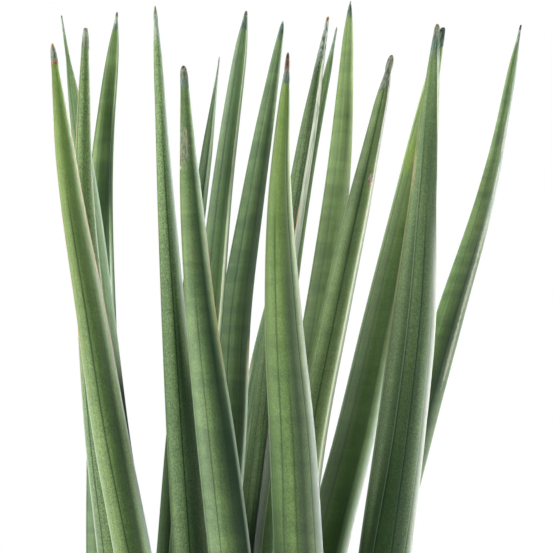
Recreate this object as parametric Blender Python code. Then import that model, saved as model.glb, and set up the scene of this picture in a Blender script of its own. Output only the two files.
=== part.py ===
# Cylindrical snake plant: a tight upright clump of round, tapering, ribbed leaves
# that stand in soil in a plain tapered clay pot.
# Lengths in the design are millimetres and are turned into metres as each mesh is made.
# +Z is up and +Y is away from the viewer. The origin is the centre of the pot's flat base.

import bisect
import math

import bmesh
import bpy

MM = 0.001
GAP = 0.3

# Pot
POT_HEIGHT = 158.0
POT_BASE_RADIUS = 66.0
POT_SHOULDER_RADIUS = 89.0
POT_RIM_RADIUS = 95.0
POT_RIM_HEIGHT = 30.0
POT_WALL = 6.0
POT_FLOOR = 7.0
POT_EDGE = 1.6
POT_SIDES = 64
DRAIN_RADIUS = 6.0
DRAIN_CIRCLE = 36.0
DRAIN_COUNT = 3
DRAIN_SIDES = 16

# Soil
SOIL_EDGE_HEIGHT = 141.0
SOIL_SLOPE_HEIGHT = 143.0
SOIL_CROWN_HEIGHT = 145.0
SOIL_SLOPE_SHARE = 0.86
SOIL_CROWN_SHARE = 0.45
SOIL_SIDES = 48

# Underground stems: thick runners that lie level under each row of leaves
RUNNER_HEIGHT = 98.0
RUNNER_RADIUS = 6.0
RUNNER_SIDES = 12
RUNNER_OVERHANG = 4.0
RUNNER_STEP = 10.0
RUNNER_END_SHARE = 0.6
RUNNER_CAP = 1.5

# Leaves
LEAF_FOOT_HEIGHT = RUNNER_HEIGHT + RUNNER_RADIUS + GAP
LEAF_SIDES = 16
LEAF_RIB_DEPTH = 0.05
LEAF_BAND = 45.0
LEAF_LEAN_SPAN = 10.0
CHANNEL_HALF_ANGLE = math.radians(42)
CHANNEL_HOLLOW = 0.07
HOLE_TOP_HEIGHT = 152.0
HOLE_GROWTH = 0.4

# Heights above the table at which every leaf's position and width are given.
LEAF_HEIGHTS = [145.0, 255.0, 365.0, 420.0, 475.0, 530.0]
# Distances below the tip at which its last widths are given.
TIP_DROPS = [45.0, 16.0, 5.0]
# A drop closer than this to the last height is left out.
STATION_SPACING = 12.0

# Each leaf, from left to right and front to back:
#   across: sideways position at each of the heights, then at the tip
#   depth: position away from the viewer at the soil, at 365 mm and at the tip
#   width: leaf width at each of the heights
#   point: tip height, then the widths at the three drops below it
#   channel: which way the shallow channel faces, in degrees from the right-hand side
#   round: front-to-back thickness as a share of the width
LEAVES = {
    "leaf_01": {
        "across": [-22, -35.5, -49, -59, -67.5, -76.5, -84],
        "depth": [-51, -50, -72],
        "width": [16, 17, 17, 16, 13.5, 10],
        "point": [594.5, 8.5, 3.9, 1.9],
        "channel": 70, "round": 0.96,
    },
    "leaf_02": {
        "across": [-33, -42.5, -51.5, -59.5, -65.5, -71.5, -83.5],
        "depth": [-12, -10, -16],
        "width": [14.5, 15, 15, 14, 12.5, 9.5],
        "point": [611, 6.5, 1.9, 0.9],
        "channel": 20, "round": 0.92,
    },
    "leaf_03": {
        "across": [-41, -49.5, -58, -64.5, -69, -72, -71],
        "depth": [-34, -30, -42],
        "width": [15.5, 16.5, 16.5, 15, 12.5, 8.5],
        "point": [603.5, 6.5, 3.8, 3],
        "channel": 55, "round": 0.95,
    },
    "leaf_04": {
        "across": [-57, -61, -65, -65.5, -67.5, -68, -60.5],
        "depth": [-4, 12, 36],
        "width": [16, 17, 17.5, 16.5, 14, 11.5],
        "point": [616.5, 8, 4, 1.5],
        "channel": -10, "round": 0.9,
    },
    "leaf_05": {
        "across": [-12, -18.5, -24.5, -28.5, -32, -35.5, -40],
        "depth": [-30, -26, -40],
        "width": [15, 15.5, 16, 13.5, 11, 7.5],
        "point": [613.5, 5, 3.1, 1.7],
        "channel": 100, "round": 0.97,
    },
    "leaf_06": {
        "across": [11, 2.5, -6, -12.5, -19, -23.5, -26.5],
        "depth": [-53, -48, -68],
        "width": [17, 18.5, 19, 17.5, 13.5, 9.5],
        "point": [585, 8.5, 4.2, 2.9],
        "channel": 80, "round": 0.96,
    },
    "leaf_07": {
        "across": [-54, -45, -36.5, -32.5, -27.5, -21, -12.5],
        "depth": [26, 26, 46],
        "width": [13, 11.5, 10, 9, 7.5, 6],
        "point": [596, 5.2, 1.6, 0.8],
        "channel": -30, "round": 0.95,
    },
    "leaf_08": {
        "across": [-36, -31.5, -26.5, -22.5, -16.5, -11, 0.5],
        "depth": [12, -1, 10],
        "width": [15.5, 16.5, 17, 15.5, 13, 10],
        "point": [615, 8, 5.2, 2.3],
        "channel": -12, "round": 0.88,
    },
    "leaf_09": {
        "across": [-25, -18.5, -12, -7.5, -4.5, 3.5, 17.5],
        "depth": [34, 22, 40],
        "width": [15.5, 16.5, 17, 16, 14.5, 11],
        "point": [612.5, 8, 3.7, 2],
        "channel": 30, "round": 0.94,
    },
    "leaf_10": {
        "across": [-34, -20.5, -7.5, 2, 19],
        "depth": [52, 44, 54],
        "width": [13, 13, 13, 12.5],
        "point": [513, 9, 4.2, 2.1],
        "channel": -60, "round": 0.95,
    },
    "leaf_11": {
        "across": [35, 30, 24.5, 21.5, 17.5, 16, 19.5],
        "depth": [-51, -56, -80],
        "width": [20, 21.5, 22, 20.5, 16.5, 10],
        "point": [590, 8, 3.9, 1.4],
        "channel": 75, "round": 0.94,
    },
    "leaf_12": {
        "across": [-14, -6.5, 1.5, 8, 15, 24, 38],
        "depth": [-5, -20, -16],
        "width": [13, 12.5, 12, 12, 11, 9],
        "point": [610.5, 7, 2.6, 1.1],
        "channel": -28, "round": 1.0,
    },
    "leaf_13": {
        "across": [-12, -1.5, 9, 14, 19, 27, 42.5],
        "depth": [16, 1, 16],
        "width": [12, 11, 9, 8.5, 7.5, 6],
        "point": [608, 4.5, 2.4, 0.9],
        "channel": 150, "round": 0.95,
    },
    "leaf_14": {
        "across": [0, 8.5, 16.5, 25, 34.5, 42.5, 49.5],
        "depth": [38, 20, 46],
        "width": [15, 16, 16.5, 16, 14, 12],
        "point": [622.5, 8, 3.9, 1.9],
        "channel": 20, "round": 0.9,
    },
    "leaf_15": {
        "across": [8, 15, 22.5, 30, 41, 53, 67],
        "depth": [-23, -26, -16],
        "width": [15, 16, 16.5, 15, 13.5, 10.5],
        "point": [593, 8.5, 4.6, 2.6],
        "channel": -10, "round": 0.95,
    },
    "leaf_16": {
        "across": [3, 20, 37, 51, 63, 75.5, 92],
        "depth": [4, 2, 18],
        "width": [18, 20, 20.5, 19, 16, 12.5],
        "point": [608, 9.5, 5.4, 3.1],
        "channel": 120, "round": 0.88,
    },
    "leaf_17": {
        "across": [43, 52.5, 62.5, 69.5, 75.5, 79.5, 85.5],
        "depth": [-28, -44, -66],
        "width": [20, 23, 23.5, 22, 19.5, 11.5],
        "point": [603.5, 9, 4.8, 3.1],
        "channel": 10, "round": 0.94,
    },
    "leaf_18": {
        "across": [22, 43.5, 65, 79.5, 95.5, 112.5, 129.5],
        "depth": [20, 8, 36],
        "width": [15.5, 17, 17, 16, 13.5, 9],
        "point": [610.5, 5.6, 3.1, 1],
        "channel": 140, "round": 0.9,
    },
}

# The rows of leaves that rise from each runner.
RUNNERS = {
    "rhizome_1": ["leaf_03", "leaf_01", "leaf_06", "leaf_11"],
    "rhizome_2": ["leaf_04", "leaf_02", "leaf_05", "leaf_15", "leaf_17"],
    "rhizome_3": ["leaf_12", "leaf_13", "leaf_16", "leaf_18"],
    "rhizome_4": ["leaf_08", "leaf_07"],
    "rhizome_5": ["leaf_10", "leaf_09", "leaf_14"],
}

# Material: base colour, roughness
SKINS = {
    "leaf_skin": ((0.115, 0.225, 0.085), 0.48),
    "soil_mix": ((0.055, 0.036, 0.024), 0.95),
    "pot_clay": ((0.52, 0.23, 0.13), 0.85),
    "rhizome_skin": ((0.62, 0.36, 0.16), 0.6),
}


def clear_scene():
    for item in list(bpy.data.objects):
        bpy.data.objects.remove(item, do_unlink=True)


def make_material(name):
    colour, roughness = SKINS[name]
    material = bpy.data.materials.new(name)
    material.use_nodes = True
    shader = material.node_tree.nodes["Principled BSDF"]
    shader.inputs["Base Color"].default_value = (*colour, 1.0)
    shader.inputs["Roughness"].default_value = roughness
    shader.inputs["Metallic"].default_value = 0.0
    return material


def smooth_value(knots, values, at):
    """Value at one height on a smooth curve through the given stations."""
    at = min(max(at, knots[0]), knots[-1])
    slopes = []
    last = len(knots) - 1
    for i in range(len(knots)):
        low = max(i - 1, 0)
        high = min(i + 1, last)
        if low == i or high == i:
            slopes.append((values[high] - values[low]) / (knots[high] - knots[low]))
            continue
        below = knots[i] - knots[low]
        above = knots[high] - knots[i]
        rise_below = (values[i] - values[low]) / below
        rise_above = (values[high] - values[i]) / above
        slopes.append((rise_below * above + rise_above * below) / (below + above))
    i = min(max(bisect.bisect_right(knots, at) - 1, 0), last - 1)
    span = knots[i + 1] - knots[i]
    t = (at - knots[i]) / span
    start = (2 * t ** 3 - 3 * t ** 2 + 1) * values[i]
    end = (3 * t ** 2 - 2 * t ** 3) * values[i + 1]
    leave = (t ** 3 - 2 * t ** 2 + t) * span * slopes[i]
    arrive = (t ** 3 - t ** 2) * span * slopes[i + 1]
    return start + end + leave + arrive


class Leaf:
    """One tapering leaf: a centre line, a width along it and a ribbed section."""

    def __init__(self, design):
        tip, *drops = design["point"]
        self.tip = tip
        self.stations = LEAF_HEIGHTS[:len(design["across"]) - 1]
        self.across = design["across"]
        self.depth = design["depth"]
        self.width_knots = list(self.stations)
        self.width_values = list(design["width"])
        for drop, width in zip(TIP_DROPS, drops):
            if tip - drop > self.width_knots[-1] + STATION_SPACING or drop < TIP_DROPS[0]:
                self.width_knots.append(tip - drop)
                self.width_values.append(width)
        self.width_knots.append(tip)
        self.width_values.append(0.0)
        self.unit = leaf_section(math.radians(design["channel"]), design["round"])

    def centre(self, height):
        base = self.stations[0]
        at = max(height, base)
        x = smooth_value(self.stations + [self.tip], self.across, at)
        y = smooth_value([base, self.stations[2], self.tip], self.depth, at)
        if height < base:
            above = smooth_value(self.stations + [self.tip], self.across, base + LEAF_LEAN_SPAN)
            x -= (above - x) * (base - height) / LEAF_LEAN_SPAN
        return x, y

    def width(self, height):
        return smooth_value(self.width_knots, self.width_values, height)

    def ring(self, height, growth=0.0):
        x, y = self.centre(height)
        reach = self.width(height) / 2 + growth
        return [(x + reach * u, y + reach * v, height) for u, v in self.unit]


def leaf_section(channel, roundness):
    """Ribbed near-round outline with one shallow channel, from -1 to 1 across."""
    points = []
    for i in range(LEAF_SIDES):
        angle = 2 * math.pi * i / LEAF_SIDES
        radius = 1 - LEAF_RIB_DEPTH * (i % 2)
        away = (angle - channel + math.pi) % (2 * math.pi) - math.pi
        if abs(away) < CHANNEL_HALF_ANGLE:
            chord = math.cos(CHANNEL_HALF_ANGLE) / math.cos(away)
            hollow = CHANNEL_HOLLOW * (1 - (away / CHANNEL_HALF_ANGLE) ** 2)
            radius = min(radius, chord - hollow)
        points.append((radius * math.cos(angle), radius * math.sin(angle) * roundness))
    left = min(u for u, v in points)
    right = max(u for u, v in points)
    middle = (left + right) / 2
    half = (right - left) / 2
    return [((u - middle) / half, v / half) for u, v in points]


def loft(name, rings, bottom, top):
    """Closed body through rings of equal count, ended by a point at each end."""
    mesh = bmesh.new()
    rows = [[mesh.verts.new([c * MM for c in point]) for point in ring] for ring in rings]
    count = len(rings[0])
    for low, high in zip(rows, rows[1:]):
        for i in range(count):
            j = (i + 1) % count
            mesh.faces.new((low[i], low[j], high[j], high[i]))
    foot = mesh.verts.new([c * MM for c in bottom])
    head = mesh.verts.new([c * MM for c in top])
    for i in range(count):
        j = (i + 1) % count
        mesh.faces.new((foot, rows[0][j], rows[0][i]))
        mesh.faces.new((head, rows[-1][i], rows[-1][j]))
    bmesh.ops.recalc_face_normals(mesh, faces=mesh.faces)
    return finish_mesh(name, mesh)


def finish_mesh(name, mesh):
    data = bpy.data.meshes.new(name)
    mesh.to_mesh(data)
    mesh.free()
    item = bpy.data.objects.new(name, data)
    bpy.context.scene.collection.objects.link(item)
    return item


def turn_profile(name, profile, sides):
    """Closed body turned about Z from (radius, height) points; it starts and ends on the axis."""
    rings = []
    for radius, height in profile[1:-1]:
        ring = []
        for i in range(sides):
            angle = 2 * math.pi * i / sides
            ring.append((radius * math.cos(angle), radius * math.sin(angle), height))
        rings.append(ring)
    return loft(name, rings, (0, 0, profile[0][1]), (0, 0, profile[-1][1]))


def cut_away(body, cutters):
    """Take all the cutters out of the body at once, then remove them."""
    group = bpy.data.collections.new("cutters")
    bpy.context.scene.collection.children.link(group)
    for cutter in cutters:
        bpy.context.scene.collection.objects.unlink(cutter)
        group.objects.link(cutter)
    modifier = body.modifiers.new("cut", "BOOLEAN")
    modifier.operation = "DIFFERENCE"
    modifier.solver = "EXACT"
    modifier.use_self = True
    modifier.operand_type = "COLLECTION"
    modifier.collection = group
    graph = bpy.context.evaluated_depsgraph_get()
    data = bpy.data.meshes.new_from_object(body.evaluated_get(graph))
    body.modifiers.remove(modifier)
    body.data = data
    for cutter in cutters:
        bpy.data.objects.remove(cutter, do_unlink=True)
    bpy.data.collections.remove(group)


def leaf_body(name, leaf):
    """Leaf from its foot on the runner to its tip."""
    base = leaf.stations[0]
    neck = leaf.tip - TIP_DROPS[0]
    bands = round((neck - base) / LEAF_BAND)
    heights = [LEAF_FOOT_HEIGHT]
    heights += [base + (neck - base) * i / bands for i in range(bands + 1)]
    heights += [leaf.tip - drop for drop in TIP_DROPS[1:]]
    rings = [leaf.ring(height) for height in heights]
    bottom = (*leaf.centre(LEAF_FOOT_HEIGHT), LEAF_FOOT_HEIGHT)
    top = (*leaf.centre(leaf.tip), leaf.tip)
    return loft(name, rings, bottom, top)


def leaf_hole(leaf):
    """Cutter for the plain hole that the leaf stands in."""
    low = RUNNER_HEIGHT
    heights = [low, leaf.stations[0], HOLE_TOP_HEIGHT]
    rings = [leaf.ring(height, HOLE_GROWTH) for height in heights]
    bottom = (*leaf.centre(low), low)
    top = (*leaf.centre(HOLE_TOP_HEIGHT), HOLE_TOP_HEIGHT)
    return loft("hole", rings, bottom, top)


def runner_line(names, leaves):
    """Level line under the feet of a row of leaves, a little longer than the row."""
    feet = [leaves[name].centre(LEAF_FOOT_HEIGHT) for name in names]
    first = beyond(feet[1], feet[0], RUNNER_OVERHANG)
    last = beyond(feet[-2], feet[-1], RUNNER_OVERHANG)
    feet = [first] + feet + [last]
    marks = [0.0]
    for start, end in zip(feet, feet[1:]):
        marks.append(marks[-1] + math.dist(start, end))
    steps = round(marks[-1] / RUNNER_STEP)
    line = []
    for i in range(steps + 1):
        at = marks[-1] * i / steps
        x = smooth_value(marks, [foot[0] for foot in feet], at)
        y = smooth_value(marks, [foot[1] for foot in feet], at)
        line.append((x, y))
    return line


def beyond(inner, outer, reach):
    """Point past the outer one, in line with the inner one."""
    share = reach / math.dist(inner, outer)
    return (outer[0] + (outer[0] - inner[0]) * share, outer[1] + (outer[1] - inner[1]) * share)


def runner_body(name, line, growth=0.0):
    """Round runner along its line, with narrowed ends."""
    rings = []
    last = len(line) - 1
    for i, (x, y) in enumerate(line):
        before = line[max(i - 1, 0)]
        after = line[min(i + 1, last)]
        length = math.dist(before, after)
        side_x = -(after[1] - before[1]) / length
        side_y = (after[0] - before[0]) / length
        radius = RUNNER_RADIUS * (RUNNER_END_SHARE if i in (0, last) else 1.0) + growth
        ring = []
        for k in range(RUNNER_SIDES):
            angle = 2 * math.pi * k / RUNNER_SIDES
            out = radius * math.cos(angle)
            ring.append((x + side_x * out, y + side_y * out, RUNNER_HEIGHT + radius * math.sin(angle)))
        rings.append(ring)
    start = beyond(line[1], line[0], RUNNER_CAP + growth)
    end = beyond(line[-2], line[-1], RUNNER_CAP + growth)
    return loft(name, rings, (*start, RUNNER_HEIGHT), (*end, RUNNER_HEIGHT))


def pot_inner_radius(height):
    """Radius of the pot's tapered inside at a height."""
    outer = POT_BASE_RADIUS + (POT_SHOULDER_RADIUS - POT_BASE_RADIUS) * height / POT_HEIGHT
    return outer - POT_WALL


def pot_body():
    shoulder = POT_HEIGHT - POT_RIM_HEIGHT
    taper = (POT_SHOULDER_RADIUS - POT_BASE_RADIUS) / POT_HEIGHT
    profile = [
        (0, 0),
        (POT_BASE_RADIUS - POT_EDGE, 0),
        (POT_BASE_RADIUS, POT_EDGE),
        (POT_BASE_RADIUS + taper * (shoulder - POT_EDGE), shoulder - POT_EDGE),
        (POT_RIM_RADIUS - POT_EDGE, shoulder),
        (POT_RIM_RADIUS, shoulder + POT_EDGE),
        (POT_RIM_RADIUS, POT_HEIGHT - POT_EDGE),
        (POT_RIM_RADIUS - POT_EDGE, POT_HEIGHT),
        (pot_inner_radius(POT_HEIGHT) + POT_EDGE, POT_HEIGHT),
        (pot_inner_radius(POT_HEIGHT - POT_EDGE), POT_HEIGHT - POT_EDGE),
        (pot_inner_radius(POT_FLOOR), POT_FLOOR),
        (0, POT_FLOOR),
    ]
    pot = turn_profile("pot", profile, POT_SIDES)
    drains = []
    for i in range(DRAIN_COUNT):
        angle = 2 * math.pi * (i + 0.5) / DRAIN_COUNT
        x = DRAIN_CIRCLE * math.cos(angle)
        y = DRAIN_CIRCLE * math.sin(angle)
        rings = []
        for height in (-POT_FLOOR, 2 * POT_FLOOR):
            ring = []
            for k in range(DRAIN_SIDES):
                turn = 2 * math.pi * k / DRAIN_SIDES
                ring.append((x + DRAIN_RADIUS * math.cos(turn), y + DRAIN_RADIUS * math.sin(turn), height))
            rings.append(ring)
        drains.append(loft("drain", rings, (x, y, -POT_FLOOR), (x, y, 2 * POT_FLOOR)))
    cut_away(pot, drains)
    return pot


def soil_body(leaves, lines):
    low = POT_FLOOR + GAP
    profile = [
        (0, low),
        (pot_inner_radius(low) - 2 * GAP, low),
        (pot_inner_radius(SOIL_EDGE_HEIGHT) - 2 * GAP, SOIL_EDGE_HEIGHT),
        (pot_inner_radius(SOIL_EDGE_HEIGHT) * SOIL_SLOPE_SHARE, SOIL_SLOPE_HEIGHT),
        (pot_inner_radius(SOIL_EDGE_HEIGHT) * SOIL_CROWN_SHARE, SOIL_CROWN_HEIGHT - GAP),
        (0, SOIL_CROWN_HEIGHT),
    ]
    soil = turn_profile("soil", profile, SOIL_SIDES)
    cutters = [leaf_hole(leaf) for leaf in leaves.values()]
    cutters += [runner_body("bed", line, GAP) for line in lines]
    cut_away(soil, cutters)
    return soil


def shade_round(item, angle):
    item.data.shade_smooth()
    item.data.set_sharp_from_angle(angle=math.radians(angle))


def main():
    clear_scene()
    materials = {name: make_material(name) for name in SKINS}
    leaves = {name: Leaf(design) for name, design in LEAVES.items()}
    lines = {name: runner_line(row, leaves) for name, row in RUNNERS.items()}
    made = [(pot_body(), "pot_clay", 40), (soil_body(leaves, lines.values()), "soil_mix", 40)]
    for name, line in lines.items():
        made.append((runner_body(name, line), "rhizome_skin", 60))
    for name, leaf in leaves.items():
        made.append((leaf_body(name, leaf), "leaf_skin", 60))
    for item, skin, angle in made:
        item.data.materials.clear()
        item.data.materials.append(materials[skin])
        shade_round(item, angle)


main()
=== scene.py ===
import bisect
import math
import random

import bmesh
import bpy
from mathutils import Euler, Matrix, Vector, noise


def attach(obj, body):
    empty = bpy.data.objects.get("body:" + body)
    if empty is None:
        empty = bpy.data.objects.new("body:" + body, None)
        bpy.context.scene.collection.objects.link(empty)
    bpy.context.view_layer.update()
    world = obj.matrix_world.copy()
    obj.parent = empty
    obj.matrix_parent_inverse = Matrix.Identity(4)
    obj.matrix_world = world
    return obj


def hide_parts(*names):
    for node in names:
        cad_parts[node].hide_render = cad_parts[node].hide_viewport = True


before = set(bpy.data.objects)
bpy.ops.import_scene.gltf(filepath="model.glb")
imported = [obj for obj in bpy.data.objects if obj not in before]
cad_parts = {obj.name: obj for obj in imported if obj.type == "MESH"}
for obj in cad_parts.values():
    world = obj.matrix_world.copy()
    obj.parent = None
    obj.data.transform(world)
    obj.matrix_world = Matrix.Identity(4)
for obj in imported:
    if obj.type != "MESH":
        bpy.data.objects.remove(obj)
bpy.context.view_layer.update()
mm = 0.001
scene = bpy.context.scene
print("frame loaded,", len(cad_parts), "nodes")


cameraSetup = {"across": 14.49, "back": 1600, "height": 492, "lens": 226.4, "sensor": 36,
               "nearest": 50, "farthest": 60000}  # all in mm


def addCamera(setup):
    data = bpy.data.cameras.new("camera")
    data.lens = setup["lens"]
    data.sensor_width = setup["sensor"]
    data.clip_start, data.clip_end = setup["nearest"] * mm, setup["farthest"] * mm
    camera = bpy.data.objects.new("camera", data)
    camera.location = (setup["across"] * mm, -setup["back"] * mm, setup["height"] * mm)
    camera.rotation_euler = (math.radians(90), 0, 0)
    scene.collection.objects.link(camera)
    scene.camera = camera


addCamera(cameraSetup)
print("camera placed")


def ramp(value, start, end):  # 0 at the start, 1 at the end
    return min(max((value - start) / (end - start), 0), 1)


def between(low, high, share):
    return low + (high - low) * share


def findStep(places, at):  # the step between two places that holds a value, and how far along it is
    i = min(max(bisect.bisect_right(places, at) - 1, 0), len(places) - 2)
    return i, ramp(at, places[i], places[i + 1])


def paint(red, green, blue):  # screen colour 0-255 to the shader's linear colour
    shares = [c / 255 for c in (red, green, blue)]
    return tuple(c / 12.92 if c <= 0.04 else ((c + 0.055) / 1.055) ** 2.4 for c in shares) + (1.0,)


def mixPaint(first, second, share):
    return tuple(between(a, b, share) for a, b in zip(first, second))


def dimPaint(colour, factor):
    return tuple(c * factor for c in colour[:3]) + (1.0,)


def put(tree, kind, inputs=(), **settings):  # one node with its settings, values and links
    node = tree.nodes.new("ShaderNode" + kind)
    for name, value in settings.items():
        setattr(node, name, value)
    for key, value in dict(inputs).items():
        if isinstance(value, bpy.types.NodeSocket):
            tree.links.new(value, node.inputs[key])
        else:
            node.inputs[key].default_value = value
    return node


def calc(tree, operation, first, second=0.0, clamp=False):
    return put(tree, "Math", {0: first, 1: second}, operation=operation, use_clamp=clamp).outputs[0]


def times(tree, first, second, clamp=False):
    return calc(tree, "MULTIPLY", first, second, clamp)


def plus(tree, first, second):
    return calc(tree, "ADD", first, second)


def blend(tree, share, first, second, mode="MIX"):  # colours
    return put(tree, "Mix", {0: share, 6: first, 7: second}, data_type="RGBA", blend_type=mode).outputs[2]


def blendValue(tree, share, first, second):
    return put(tree, "Mix", {0: share, 2: first, 3: second}).outputs[0]


def fade(tree, value, start, end, low=0.0, high=1.0):  # smooth step between two values
    steps = {0: value, 1: start, 2: end, 3: low, 4: high}
    return put(tree, "MapRange", steps, interpolation_type="SMOOTHSTEP").outputs[0]


def stretch(tree, vector, scale):
    return put(tree, "VectorMath", {0: vector, 1: scale}, operation="MULTIPLY").outputs[0]


def brighten(tree, colour, factor):
    return put(tree, "VectorMath", {0: colour, "Scale": factor}, operation="SCALE").outputs[0]


def lengthOf(tree, vector):
    return put(tree, "VectorMath", {0: vector}, operation="LENGTH").outputs["Value"]


def cloud(tree, vector, scale, detail=2.0, rough=0.5):
    made = put(tree, "TexNoise", {"Vector": vector, "Scale": scale, "Detail": detail, "Roughness": rough})
    return made.outputs["Fac"]


def placeInMm(tree):  # where a point lies on its piece
    return stretch(tree, put(tree, "TexCoord").outputs["Object"], (1 / mm, 1 / mm, 1 / mm))


def finish(tree, shader, colour, rough, relief, strength, depth):  # depth of the relief in mm
    tree.links.new(colour, shader.inputs["Base Color"])
    tree.links.new(rough, shader.inputs["Roughness"])
    bump = put(tree, "Bump", {"Height": relief, "Strength": strength, "Distance": depth * mm})
    tree.links.new(bump.outputs[0], shader.inputs["Normal"])


def newMaterial(name):
    material = bpy.data.materials.new(name)
    material.use_nodes = True
    return material, material.node_tree, material.node_tree.nodes["Principled BSDF"]


def addObject(name, mesh, materials):
    data = bpy.data.meshes.new(name)
    mesh.to_mesh(data)
    mesh.free()
    for material in materials:
        data.materials.append(material)
    data.shade_smooth()
    item = bpy.data.objects.new(name, data)
    scene.collection.objects.link(item)
    return item


def joinRings(mesh, rows):
    for low, high in zip(rows, rows[1:]):
        for i in range(len(low)):
            j = (i + 1) % len(low)
            mesh.faces.new((low[i], low[j], high[j], high[i]))


photoEdge = 365  # the photo shows the leaves from this height up
leafHeights = [145, 255, 365, 420, 475, 530]  # where the position and width are given
tipDrops = [30, 20, 12, 8, 5, 3, 1.2, 0.3]  # distances below the tip of the last widths

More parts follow.
